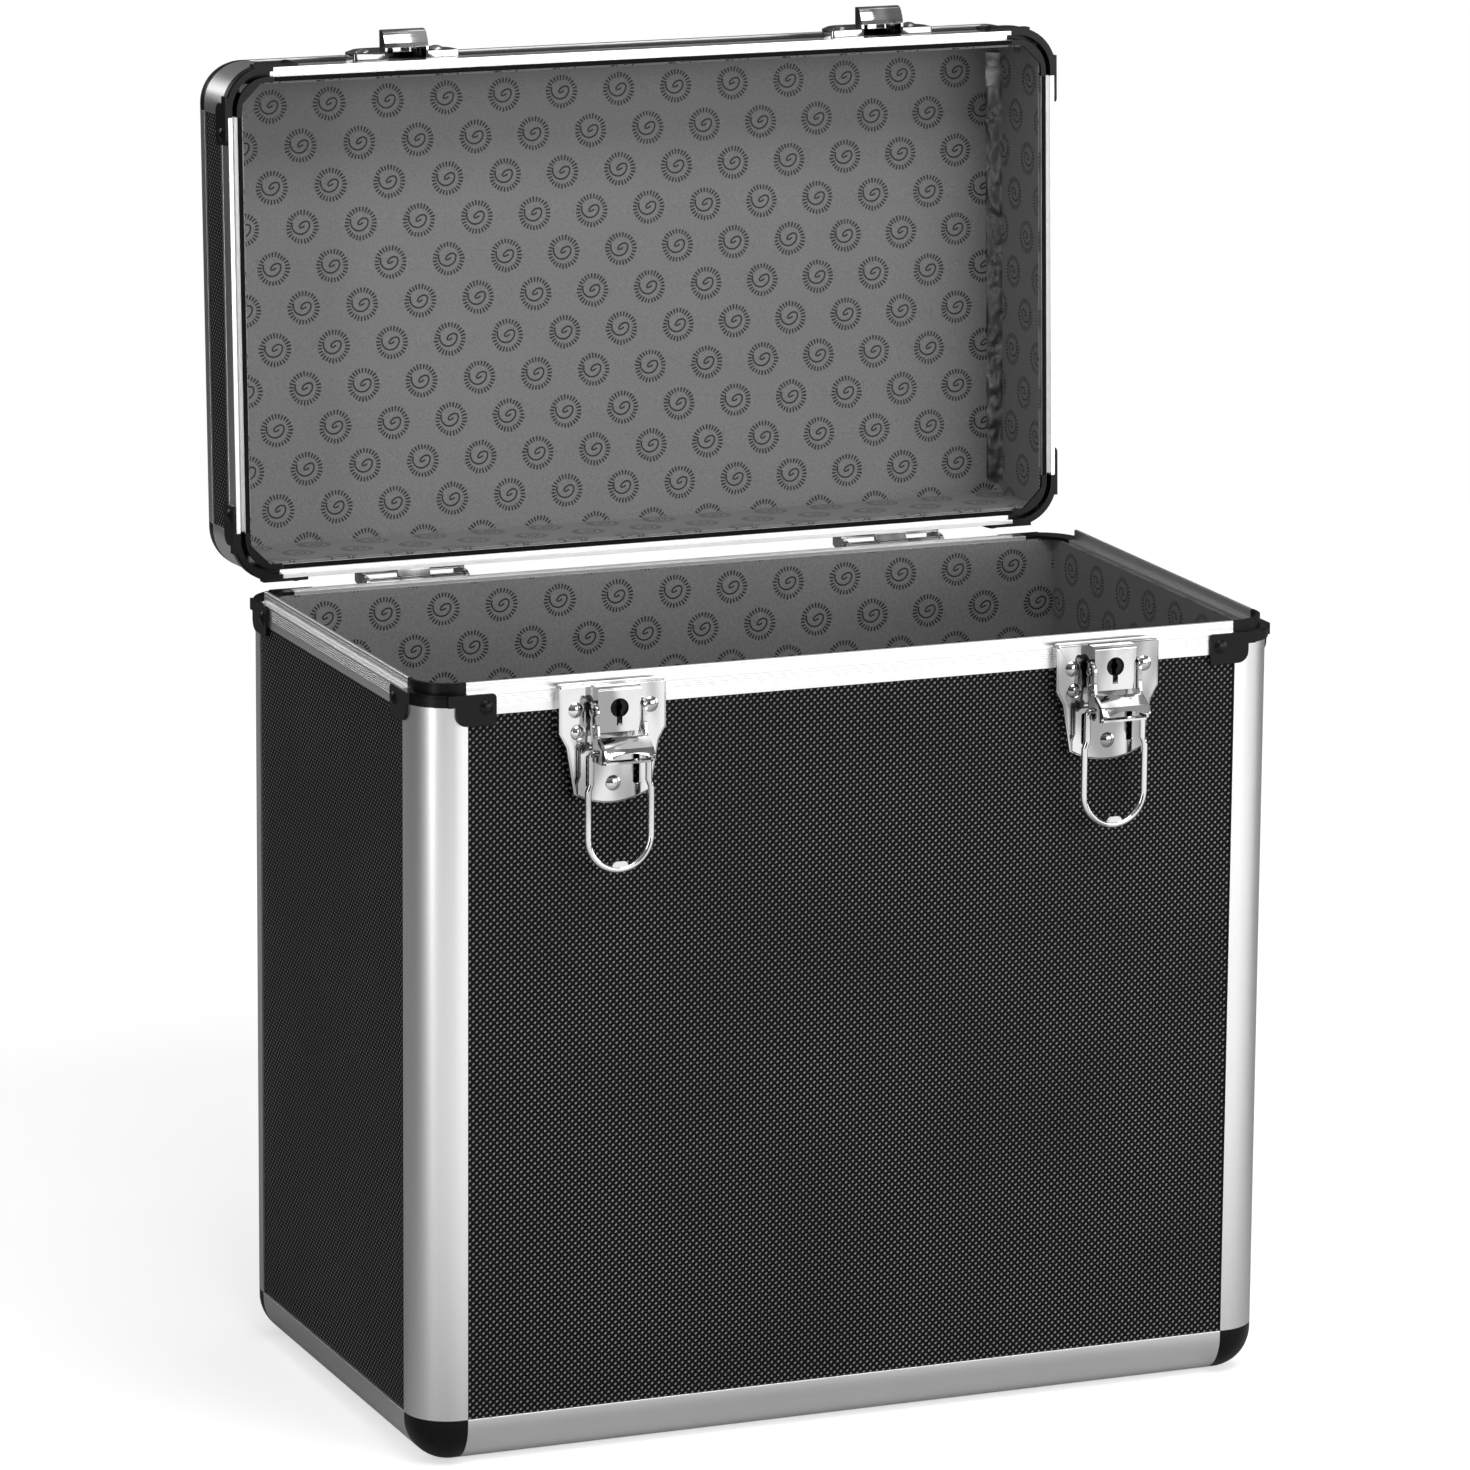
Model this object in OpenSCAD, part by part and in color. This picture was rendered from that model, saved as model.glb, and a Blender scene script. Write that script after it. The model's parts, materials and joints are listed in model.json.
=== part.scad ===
// Record carrying case: laminated panels in aluminium edge rails, black plastic
// corners, a deep hinged lid, two lockable bail latches and a folding handle.
// Millimetres. +Z is up and +X is to the right, seen from the front, which faces -Y.
// The origin is the middle of the underside. The lid is drawn open, as it rests on
// its hinge stops. The lid's own modules are written for the closed case, and
// lid_place() swings them open about the hinge axis.

/* [Case] */
// Width over the rails
case_w = 360; // [320:1:420]
// Depth over the rails, front to back
case_d = 206; // [170:1:260]
// Height of the body, from the underside to the seam
body_h = 306; // [240:1:360]
// Height of the lid, from the seam to its top
lid_h = 49.6; // [46:0.2:80]
// Angle at which the lid rests on its stops
lid_open = 92.5; // [60:0.5:100]

/* [Walls] */
// Thickness of the laminated panels
panel_t = 4; // [3:0.1:6]
// How far the rails stand proud of the panels
rail_proud = 0.9; // [0.7:0.05:1.5]
// How far the panels' edges are pressed in under the rails
edge_bite = 0.1; // [0.05:0.05:0.3]
// Thickness of the rails' inner flanges
flange_t = 1; // [0.8:0.05:1.5]
// Thickness of the lining
lining_t = 0.9; // [0.6:0.05:1.5]
// Play at the ends of the panels in their grooves
seat_gap = 0.05; // [0.02:0.01:0.2]

/* [Edge rails] */
// How far a rail and a corner reach over each face
rail_reach = 19.35; // [18:0.05:24]
// Outer rounding of the rails and corners
edge_r = 17; // [12:0.1:17.5]
// Distance from the outer face to the bottom of a panel groove
groove_start = 13.9; // [13.5:0.1:14]
// Wall of the hollow in a rail
rail_wall = 1.3; // [1:0.1:1.8]

/* [Rim] */
// Height of the body rim's outer flange
body_flange_h = 8.4; // [7:0.1:12]
// Height of the lid rim's outer flange
lid_flange_h = 10; // [8:0.1:12]
// Height of the inner flange on both rims
inner_flange_h = 10.5; // [8:0.1:14]
// Distance from the outer face to the tongue
tongue_set = 2.05; // [1.8:0.05:2.2]
// Thickness of the tongue
tongue_t = 1.4; // [1.1:0.05:1.6]
// Height of the tongue above the seam
tongue_h = 4.2; // [3:0.1:5]
// Play between the tongue and its groove
tongue_gap = 0.3; // [0.2:0.05:0.5]
// Cut in the lid lining's corners, along each wall, that clears the tongue
tongue_room = 6; // [5.5:0.1:8]
// Thickness of the web that closes a rim over its panel
rim_web = 1.4; // [1:0.1:2.2]
// Number of fine ribs on the body rim
rib_n = 5; // [2:1:6]
// Pitch of the fine ribs
rib_pitch = 0.85; // [0.7:0.05:1.1]
// Depth of the grooves between the ribs
rib_depth = 0.25; // [0.1:0.05:0.4]
// Distance from the seam to the first groove
rib_start = 0.9; // [0.6:0.1:1.5]
// Gap between the closed lid and the body
seam_gap = 0.3; // [0.2:0.05:0.6]

/* [Rim corners] */
// How far a rim corner stands proud of the rails
band_proud = 1.2; // [0.8:0.1:1.8]
// Height of the band round the corner
band_h = 4.6; // [3.5:0.1:6]
// Where a tab starts, from the corner
tab_start = 14; // [12:0.1:15]
// Where a tab ends, from the corner
tab_end = 30.5; // [27:0.1:36]
// Height of a tab
tab_h = 12.2; // [10:0.1:14]
// Rounding at the free end of a tab
tab_r = 1.8; // [0.8:0.1:2.5]
// Fillet of the tab's foot, let into the corner rail
tab_foot_r = 4.4; // [3:0.1:5]
// Place of the tab's rivet, from the corner
tab_rivet_x = 26.3; // [24:0.1:32]
// Drop of the tab's rivet below the seam
tab_rivet_z = 5.2; // [4:0.1:7]
// Leg of the web across the inner corner
corner_web = 8.5; // [6:0.1:12]
// Thickness of that web
corner_web_t = 1.4; // [1:0.1:2.5]

/* [Rivets] */
// Head radius of the black rivets in the tabs
tab_rivet_r = 2.9; // [2:0.1:3.5]
// Height of a black rivet's head
tab_rivet_h = 1.1; // [0.6:0.1:1.6]
// Head radius of the bright rivets
rivet_r = 3.5; // [2.5:0.1:4]
// Height of a bright rivet's head
rivet_h = 1.5; // [1:0.1:2]
// Radius of the rivet shanks
shank_r = 1.6; // [1.2:0.1:2]

/* [Latches] */
// Distance of each latch from the middle
latch_x = 103.6; // [70:0.1:130]
// How far the base plate reaches above the seam
latch_rise = 1.4; // [0:0.1:2]
// Height of the base plate
latch_h = 47.2; // [42:0.1:56]
// Half width of the base plate at its top
latch_half_top = 21.9; // [20:0.1:26]
// Half width below the shoulders
latch_half_mid = 18.9; // [17:0.1:20]
// Half width at the bottom corners
latch_half_low = 15.8; // [14:0.1:16.5]
// Drop of the bottom edge's bow
latch_bow = 4.3; // [2:0.1:6]
// Where the shoulders start, below the top
shoulder_top = 18.6; // [14:0.1:21]
// Where the shoulders end, below the top
shoulder_low = 24.2; // [22:0.1:27]
// How far the plate's face stands off the rim
latch_face = 4.4; // [3.5:0.1:6]
// Sheet thickness of the base plate, lock box and keepers
sheet_t = 0.9; // [0.7:0.05:1.2]
// Drop of the upper rivets below the plate's top
upper_rivet_drop = 9.7; // [8:0.1:12]
// Half distance between the upper rivets
upper_rivet_half = 15.3; // [14.8:0.1:17]
// Drop of the lower rivet below the plate's top
lower_rivet_drop = 39.2; // [37:0.1:42]
// Half spacing of the two pressed dimples on the base plate's shoulders
boss_half = 14.4; // [12:0.1:15.5]
// Drop of the dimples below the plate's top
boss_drop = 18.4; // [17:0.1:20]
// Radius of the dimples
boss_r = 2.6; // [1.5:0.1:3]
// Height of the dimples
boss_h = 1.1; // [0.5:0.1:1.5]
// Half width of the lock box
box_half = 8.8; // [8:0.1:9.4]
// How far the lock box's face stands off the rim
box_face = 11.4; // [10.5:0.1:13]
// Height of the lock box
box_h = 17.4; // [15:0.1:18.5]
// Radius of the keyhole
key_r = 3.7; // [3:0.1:4]
// Width of the keyhole's slot
key_slot = 2.2; // [1.5:0.1:3]
// How far the slot reaches below the keyhole's centre
key_slot_drop = 6.8; // [5:0.1:7.5]
// Drop of the keyhole's centre below the plate's top
key_drop = 8.5; // [7:0.1:9.5]
// Width of the long windows under the lever's cheeks
window_w = 2.3; // [1.5:0.1:2.8]
// Height of those windows
window_h = 12; // [8:0.1:13]

/* [Levers] */
// Sheet thickness of the lever
lever_t = 1; // [0.8:0.05:1.3]
// Play between the lock box and the lever's cheeks
cheek_gap = 0.35; // [0.2:0.05:0.5]
// Side play between the cheeks, the bail and the pins' heads
side_play = 0.3; // [0.2:0.05:0.4]
// Drop of the lever's two stub pins below the plate's top
pin_drop = 9.9; // [9:0.1:12]
// How far the pins' axis stands off the rim
pin_out = 9.6; // [8.5:0.1:9.6]
// Radius of the stub pins
pin_r = 1; // [0.7:0.05:1.1]
// Running play round the pins and the bail's ends
pin_play = 0.05; // [0.02:0.01:0.1]
// Drop of the bail's axis below the plate's top
bail_drop = 25.4; // [24:0.1:28]
// How far the bail's axis stands off the rim
bail_out = 11.8; // [11:0.1:13]
// How far the thumb tab's lip stands off the rim
lip_out = 24; // [21:0.1:25]
// Drop of the lip below the plate's top
lip_drop = 25.6; // [23:0.1:27]
// Rise of the arch in the lip's lower edge
lip_arch = 2; // [0.5:0.1:3]

/* [Bails] */
// Radius of the bail's wire
wire_r = 1.3; // [1:0.05:1.5]
// Half width of the loop, to the wire's centre
loop_half = 12.85; // [12.2:0.05:15]
// Length from the bail's axis to the end of the loop
bail_len = 47.4; // [44:0.1:50]
// Half width of the saddle in the end of the loop
saddle_half = 3.25; // [2:0.05:5]
// Thickness of the saddle inside the loop
saddle_in = 2; // [1.2:0.1:2.4]

/* [Lock cams] */
// Radius of the lock's plug
plug_r = 5.2; // [4.5:0.1:5.6]
// Radius of the plug's spigot in the base plate
spigot_r = 2.5; // [1.5:0.1:3]
// Length of the cam from the plug's centre
cam_len = 9.7; // [9.4:0.05:10]
// Half width of the cam
cam_half = 1.2; // [0.8:0.1:1.6]
// How far the cam stands off the rim
cam_out = 6; // [5.6:0.1:6.4]
// Thickness of the cam
cam_t = 1.2; // [0.8:0.1:1.4]
// Clearance round the cam and the plug
cam_gap = 0.35; // [0.2:0.05:0.5]

/* [Keepers] */
// Gap from the seam to the keeper
keeper_start = 2; // [1.7:0.1:3]
// Length of the keeper's plate
keeper_len = 23.5; // [21:0.1:25]
// Half width of the plate
keeper_half = 22.6; // [20:0.1:26]
// How far the plate stands off the rim
keeper_face = 3.2; // [2.4:0.1:4]
// Place of the rivets above the seam
keeper_rivet_z = 10.4; // [8:0.1:13]
// Half width of the hook
hook_half = 9.2; // [7:0.1:9.6]
// How far the hook reaches from the seam
hook_end = 16.2; // [14:0.1:17]
// Height of the hook off the rim
hook_out = 12.3; // [10:0.1:13]
// Height of the mouth under the hook's front
hook_mouth = 5.2; // [4:0.1:6]

/* [Hinges] */
// Distance of each hinge from the middle
hinge_x = 105; // [60:1:140]
// How far the axis stands behind the case
hinge_out = 4.9; // [4.5:0.1:6]
// Drop of the axis below the seam
hinge_drop = 2.1; // [1.5:0.1:3]
// Width of a hinge
hinge_w = 44; // [30:1:60]
// Length of each leaf
leaf_h = 27; // [22:0.5:40]
// Thickness of the leaves
leaf_t = 1.2; // [1:0.1:1.6]
// Outer radius of the knuckles
knuckle_r = 2.6; // [2.4:0.1:3]
// Radius of the hinge pins
hinge_pin_r = 1.25; // [1:0.05:1.5]
// Gap between neighbouring knuckles
knuckle_gap = 0.35; // [0.2:0.05:0.6]
// How far the stop arms reach behind the axis
stop_reach = 12; // [8:0.5:16]
// Gap between the stop arms and the open leaf
stop_gap = 0.12; // [0.05:0.01:0.3]

/* [Handle] */
// Half distance between the bracket centres
bracket_x = 64; // [50:1:80]
// Width of a bracket's foot
foot_w = 38; // [34:1:46]
// Depth of a bracket's foot
foot_d = 26; // [22:1:40]
// Thickness of the bracket's sheet
bracket_t = 1.5; // [1.2:0.1:2]
// Height of the handle's axis over the top panel
handle_axis_h = 7.2; // [6.5:0.1:10]
// Radius of the handle's pins
handle_pin_r = 2; // [1.6:0.1:2.5]
// Reach of the handle from its axis
handle_reach = 36; // [30:0.5:42]
// Thickness of the handle's arms and grip
grip_t = 9; // [7:0.5:11]
// Width of the arms and grip
grip_w = 15; // [12:0.5:16]
// Rounding of their edges
grip_edge = 3; // [1:0.1:4]
// Centre-line radius of the handle's two bends
handle_bend = 16; // [10:0.5:24]
// Play between the handle and the bracket's ears
ear_play = 0.4; // [0.2:0.05:0.8]

/* [Hidden] */
$fn = 64;
eps = 0.01;
half_w = case_w / 2;
half_d = case_d / 2;
case_h = body_h + lid_h;
corners = [[-1, -1], [1, -1], [-1, 1], [1, 1]];
sides = [-1, 1];
// distance from the outer face to the inner face of the flanges
wall = rail_proud + panel_t + flange_t;
groove_end = groove_start + seat_gap;
// the lid closes with a running gap above the body
lid_z = body_h + seam_gap;
lid_in_h = case_h - lid_z;
hinge_y = half_d + hinge_out;
hinge_z = body_h - hinge_drop;
plate_top = body_h + latch_rise;
cheek_in = box_half + cheek_gap;
cheek_out = cheek_in + lever_t;
top_panel_z = case_h - rail_proud;
handle_z = top_panel_z + handle_axis_h;

silver = "silver";
bright = "gainsboro";
black = "#1c1c1e";
laminate = "#202022";
grey_cloth = "#5c5c5e";

// ---------- helpers ----------

// Points of an arc, from angle a0 to a1 in n steps
function arc(c, r, a0, a1, n) =
    [for (i = [0:n]) c + r * [cos(a0 + (a1 - a0) * i / n), sin(a0 + (a1 - a0) * i / n)]];

// Unit vector from p to q
function unit(p, q) = (q - p) / norm(q - p);

// Corner b of the outline a-b-c, rounded to radius r in n steps
function rounded(a, b, c, r, n) =
    let (u = unit(b, a), v = unit(b, c), half = acos(u * v) / 2, reach = r / tan(half),
         m = b + (u + v) / norm(u + v) * r / sin(half), p = b + u * reach, q = b + v * reach,
         a0 = atan2(p[1] - m[1], p[0] - m[0]), a1 = atan2(q[1] - m[1], q[0] - m[0]),
         turn = a1 - a0, sweep = turn > 180 ? turn - 360 : turn < -180 ? turn + 360 : turn)
    arc(m, r, a0, a0 + sweep, n);

// Outline with every corner rounded to its radius; a radius of 0 stays sharp
function soften(pts, radii, n = 5) =
    let (k = len(pts))
    [for (i = [0:k - 1]) each radii[i] > 0
        ? rounded(pts[(i + k - 1) % k], pts[i], pts[(i + 1) % k], radii[i], n)
        : [pts[i]]];

module flip(on, v) {
    if (on) mirror(v) children();
    else children();
}

// Puts the corner of the case at the origin, with x and y running inwards
module at_corner(side) {
    translate([side[0] * half_w, side[1] * half_d, 0])
        flip(side[0] > 0, [1, 0, 0])
            flip(side[1] > 0, [0, 1, 0])
                children();
}

// Runs a profile drawn in (inwards, up) along the front or back face
module along_x(side, z, from, to) {
    translate([0, side * half_d, z])
        flip(side > 0, [0, 1, 0])
            translate([from, 0, 0])
                rotate([90, 0, 90])
                    linear_extrude(to - from)
                        children();
}

// Runs a profile drawn in (inwards, up) along the left or right face
module along_y(side, z, from, to) {
    translate([side * half_w, 0, z])
        flip(side > 0, [1, 0, 0])
            translate([0, to, 0])
                rotate([90, 0, 0])
                    linear_extrude(to - from)
                        children();
}

// Swings what is drawn on the closed case open about the hinge axis
module lid_place() {
    translate([0, hinge_y, hinge_z])
        rotate([-lid_open, 0, 0])
            translate([0, -hinge_y, -hinge_z])
                children();
}

// Turns what is drawn for the body's seam upside down for the lid's
module above_seam() {
    translate([0, 0, lid_z])
        mirror([0, 0, 1])
            children();
}

// ---------- panels ----------

// A flat block from corner low to corner high, between two depths
module slab(low, high, from, to) {
    translate([low[0], low[1], from])
        cube([high[0] - low[0], high[1] - low[1], to - from]);
}

// A panel, outer face down: its edges are pressed in under the rails' outer flanges,
// and a pad fills the opening between the inner flanges. Each pair is [low, high].
module panel(board, field, pad) {
    slab(board[0], board[1], edge_bite, panel_t);
    slab(field[0], field[1], 0, edge_bite + eps);
    slab(pad[0], pad[1], panel_t - eps, panel_t + flange_t);
}

rail_edge = rail_reach + seat_gap;
lid_groove_top = tongue_h + tongue_gap + rim_web;

// side walls of the body, u to the right and v up
module body_wall(half) {
    u = half - rail_edge;
    panel([[groove_end - half, groove_end], [half - groove_end, body_h - rim_web - seat_gap]],
          [[-u, rail_edge], [u, body_h - body_flange_h - seat_gap]],
          [[-u, rail_edge], [u, body_h - inner_flange_h - seat_gap]]);
}

module lid_wall(half) {
    u = half - rail_edge;
    top = case_h - rail_edge;
    panel([[groove_end - half, lid_z + lid_groove_top + seat_gap],
           [half - groove_end, case_h - groove_end]],
          [[-u, lid_z + lid_flange_h + seat_gap], [u, top]],
          [[-u, lid_z + inner_flange_h + seat_gap], [u, top]]);
}

// Stands a wall up on the front or back, with its outer face outwards
module face_front(side) {
    translate([0, side * (half_d - rail_proud), 0])
        flip(side > 0, [0, 1, 0])
            mirror([0, 1, 0])
                rotate([90, 0, 0])
                    children();
}

// Stands a wall up on the left or right, with its outer face outwards
module face_side(side) {
    translate([side * (half_w - rail_proud), 0, 0])
        flip(side > 0, [1, 0, 0])
            rotate([90, 0, 90])
                children();
}

module flat_panel() {
    board = [half_w - groove_end, half_d - groove_end];
    field = [half_w - rail_edge, half_d - rail_edge];
    panel([-board, board], [-field, field], [-field, field]);
}

module front_panel() { color(laminate) face_front(-1) body_wall(half_w); }
module back_panel() { color(laminate) face_front(1) body_wall(half_w); }
module left_panel() { color(laminate) face_side(-1) body_wall(half_d); }
module right_panel() { color(laminate) face_side(1) body_wall(half_d); }
module bottom_panel() { color(laminate) translate([0, 0, rail_proud]) flat_panel(); }
module lid_front_panel() { color(laminate) lid_place() face_front(-1) lid_wall(half_w); }
module lid_back_panel() { color(laminate) lid_place() face_front(1) lid_wall(half_w); }
module lid_left_panel() { color(laminate) lid_place() face_side(-1) lid_wall(half_d); }
module lid_right_panel() { color(laminate) lid_place() face_side(1) lid_wall(half_d); }

module lid_top_panel() {
    color(laminate)
        lid_place()
            translate([0, 0, top_panel_z])
                mirror([0, 0, 1])
                    flat_panel();
}

// ---------- edge rails ----------

// Outline of a rounded edge, with both faces running inwards from the origin
module edge_outline(reach) {
    intersection() {
        translate([edge_r, edge_r])
            circle(edge_r);
        square(edge_r + eps);
    }
    translate([edge_r, 0])
        square([reach - edge_r, reach]);
    translate([0, edge_r])
        square([reach, reach - edge_r]);
}

// Section of an edge rail: two panel grooves round a hollow, rounded edge
module rail_profile() {
    difference() {
        edge_outline(rail_reach);
        translate([wall, wall])
            square(rail_reach);
        translate([groove_start, rail_proud])
            square([rail_reach, panel_t]);
        translate([rail_proud, groove_start])
            square([panel_t, rail_reach]);
        difference() {
            intersection() {
                translate([edge_r, edge_r])
                    circle(edge_r - rail_wall);
                square(groove_start - rail_wall);
            }
            translate([wall - flange_t, wall - flange_t])
                square(rail_reach);
        }
    }
}

// Foot of a tab of the rim corner, let into the top of the corner rail
module tab_recess() {
    for (turn = [0, 1])
        flip(turn == 1, [1, -1, 0])
            translate([0, rail_proud + eps, 0])
                rotate([90, 0, 0])
                    linear_extrude(rail_proud + 1)
                        translate([0, body_h])
                            difference() {
                                translate([tab_start, -tab_h])
                                    square([rail_reach, tab_h + 1]);
                                difference() {
                                    translate([tab_start - eps, -tab_h - eps])
                                        square(tab_foot_r + eps);
                                    translate([tab_start + tab_foot_r, -tab_h + tab_foot_r])
                                        circle(tab_foot_r);
                                }
                            }
}

module corner_rail(side) {
    color(silver)
        at_corner(side)
            difference() {
                translate([0, 0, rail_reach])
                    linear_extrude(body_h - band_h - seat_gap - rail_reach)
                        rail_profile();
                tab_recess();
            }
}

module corner_rail_front_left() { corner_rail(corners[0]); }
module corner_rail_front_right() { corner_rail(corners[1]); }
module corner_rail_back_left() { corner_rail(corners[2]); }
module corner_rail_back_right() { corner_rail(corners[3]); }

module bottom_rail_x(side) {
    color(silver)
        along_x(side, 0, -half_w + rail_reach, half_w - rail_reach)
            rail_profile();
}

module bottom_rail_y(side) {
    color(silver)
        along_y(side, 0, -half_d + rail_reach, half_d - rail_reach)
            rail_profile();
}

module bottom_rail_front() { bottom_rail_x(-1); }
module bottom_rail_back() { bottom_rail_x(1); }
module bottom_rail_left() { bottom_rail_y(-1); }
module bottom_rail_right() { bottom_rail_y(1); }

module lid_rail_x(side) {
    color(silver)
        lid_place()
            along_x(side, case_h, -half_w + rail_reach, half_w - rail_reach)
                mirror([0, 1])
                    rail_profile();
}

module lid_rail_y(side) {
    color(silver)
        lid_place()
            along_y(side, case_h, -half_d + rail_reach, half_d - rail_reach)
                mirror([0, 1])
                    rail_profile();
}

module lid_rail_front() { lid_rail_x(-1); }
module lid_rail_back() { lid_rail_x(1); }
module lid_rail_left() { lid_rail_y(-1); }
module lid_rail_right() { lid_rail_y(1); }

// The four short upright rails at the lid's corners
module lid_corner_rails() {
    color(silver)
        lid_place()
            for (side = corners)
                at_corner(side)
                    difference() {
                        translate([0, 0, lid_z + band_h + seat_gap])
                            linear_extrude(case_h - rail_reach - lid_z - band_h - seat_gap)
                                rail_profile();
                        above_seam()
                            translate([0, 0, -body_h])
                                tab_recess();
                    }
}

// ---------- ball corners ----------

// A rounded corner block, shelled to the wall and grooved for three panels
module ball_corner() {
    flat = rail_reach - edge_r;
    difference() {
        union() {
            translate([edge_r, edge_r, edge_r])
                sphere(edge_r);
            translate([edge_r, edge_r, edge_r])
                cylinder(r = edge_r, h = flat);
            translate([edge_r, edge_r, edge_r])
                rotate([-90, 0, 0])
                    cylinder(r = edge_r, h = flat);
            translate([edge_r, edge_r, edge_r])
                rotate([0, 90, 0])
                    cylinder(r = edge_r, h = flat);
            translate([edge_r, edge_r, 0])
                cube([flat, flat, rail_reach]);
            translate([edge_r, 0, edge_r])
                cube([flat, rail_reach, flat]);
            translate([0, edge_r, edge_r])
                cube([rail_reach, flat, flat]);
        }
        translate([wall, wall, wall])
            cube(3 * edge_r);
        // what the round primitives add past the block's inner sides
        translate([rail_reach, -1, -1])
            cube(3 * edge_r);
        translate([-1, rail_reach, -1])
            cube(3 * edge_r);
        translate([-1, -1, rail_reach])
            cube(3 * edge_r);
        translate([groove_start, groove_start, rail_proud])
            cube([rail_reach, rail_reach, panel_t]);
        translate([groove_start, rail_proud, groove_start])
            cube([rail_reach, panel_t, rail_reach]);
        translate([rail_proud, groove_start, groove_start])
            cube([panel_t, rail_reach, rail_reach]);
    }
}

module bottom_ball_corners() {
    color(black)
        for (side = corners)
            at_corner(side)
                ball_corner();
}

module lid_ball_corners() {
    color(black)
        lid_place()
            for (side = corners)
                at_corner(side)
                    translate([0, 0, case_h])
                        mirror([0, 0, 1])
                            ball_corner();
}

// ---------- rims ----------

// Section of the body's rim, drawn in (inwards, up) with the seam at zero: fine ribs
// outside, a panel groove below and, where the lid can clear it, a tongue above
module body_rim_profile(tongue) {
    difference() {
        union() {
            translate([0, -body_flange_h])
                square([rail_proud, body_flange_h]);
            translate([0, -rim_web])
                square([wall, rim_web]);
            translate([wall - flange_t, -inner_flange_h])
                square([flange_t, inner_flange_h]);
            if (tongue)
                polygon([[tongue_set, -eps], [tongue_set, tongue_h - 0.3],
                         [tongue_set + 0.3, tongue_h], [tongue_set + tongue_t - 0.3, tongue_h],
                         [tongue_set + tongue_t, tongue_h - 0.3], [tongue_set + tongue_t, -eps]]);
        }
        for (i = [0:rib_n - 1])
            translate([-eps, -rib_start - i * rib_pitch - rib_pitch / 2])
                square([rib_depth + eps, rib_pitch / 2]);
        if (tongue)
            translate([tongue_set - eps, tongue_h * 0.6])
                square([0.2, 0.3]);
    }
}

// Section of the lid's rim, drawn upwards from its seam: a groove takes the tongue
module lid_rim_profile() {
    groove_low = tongue_set - tongue_gap;
    groove_high = tongue_set + tongue_t + tongue_gap;
    difference() {
        union() {
            square([rail_proud, lid_flange_h]);
            square([wall, lid_groove_top]);
            translate([wall - flange_t, 0])
                square([flange_t, inner_flange_h]);
        }
        translate([groove_low, -1])
            square([groove_high - groove_low, 1 + tongue_h + tongue_gap]);
        translate([-eps, lid_flange_h - 2.2])
            square([rib_depth + eps, rib_pitch / 2]);
    }
}

module body_rim_x(side) {
    color(silver)
        along_x(side, body_h, -half_w + rail_reach, half_w - rail_reach)
            body_rim_profile(side < 0);
}

module body_rim_y(side) {
    color(silver)
        along_y(side, body_h, -half_d + rail_reach, half_d - rail_reach)
            body_rim_profile(true);
}

module body_rim_front() { body_rim_x(-1); }
module body_rim_back() { body_rim_x(1); }
module body_rim_left() { body_rim_y(-1); }
module body_rim_right() { body_rim_y(1); }

module lid_rim_x(side) {
    color(silver)
        lid_place()
            difference() {
                along_x(side, lid_z, -half_w + rail_reach, half_w - rail_reach)
                    lid_rim_profile();
                // the keepers' rivets pass the front flange
                if (side < 0)
                    for (s = sides, x = sides)
                        translate([s * latch_x + x * upper_rivet_half, -half_d - 1,
                                   lid_z + keeper_rivet_z])
                            rotate([-90, 0, 0])
                                cylinder(r = shank_r, h = 1.1 + rail_proud);
            }
}

module lid_rim_y(side) {
    color(silver)
        lid_place()
            along_y(side, lid_z, -half_d + rail_reach, half_d - rail_reach)
                lid_rim_profile();
}

module lid_rim_front() { lid_rim_x(-1); }
module lid_rim_back() { lid_rim_x(1); }
module lid_rim_left() { lid_rim_y(-1); }
module lid_rim_right() { lid_rim_y(1); }

// ---------- rim corners ----------

// Sweeps a section, drawn in (inwards, up), round the corner and along both faces
module round_corner(reach) {
    translate([edge_r, edge_r, 0])
        rotate([0, 0, 180])
            rotate_extrude(angle = 90)
                translate([edge_r, 0])
                    mirror([1, 0])
                        children();
    for (turn = [0, 1])
        flip(turn == 1, [1, -1, 0])
            translate([edge_r - eps, 0, 0])
                rotate([90, 0, 90])
                    linear_extrude(reach - edge_r + eps)
                        children();
}

// Outline of a tab on one face, drawn in (along the face, up) with the seam at zero
module tab_outline() {
    difference() {
        union() {
            polygon(soften([[tab_start - 3, 0], [tab_start - 3, -band_h],
                            [tab_start, -band_h], [tab_start, -tab_h],
                            [tab_end, -tab_h], [tab_end, 0]],
                           [0, 0, 0, tab_foot_r, tab_r, tab_r]));
        }
        translate([tab_rivet_x, -tab_rivet_z])
            circle(shank_r);
    }
}

module tabs() {
    for (turn = [0, 1])
        flip(turn == 1, [1, -1, 0])
            translate([0, 0, 0])
                rotate([90, 0, 0])
                    linear_extrude(band_proud)
                        tab_outline();
    // the feet fill the recess in the corner rail
    for (turn = [0, 1])
        flip(turn == 1, [1, -1, 0])
            translate([0, rail_proud, 0])
                rotate([90, 0, 0])
                    linear_extrude(rail_proud + eps)
                        polygon(soften([[tab_start, -band_h], [tab_start, -tab_h],
                                        [rail_reach - seat_gap, -tab_h],
                                        [rail_reach - seat_gap, -body_flange_h - seat_gap],
                                        [rail_reach - seat_gap, -band_h]],
                                       [0, tab_foot_r, 0, 0, 0]));
}

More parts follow.
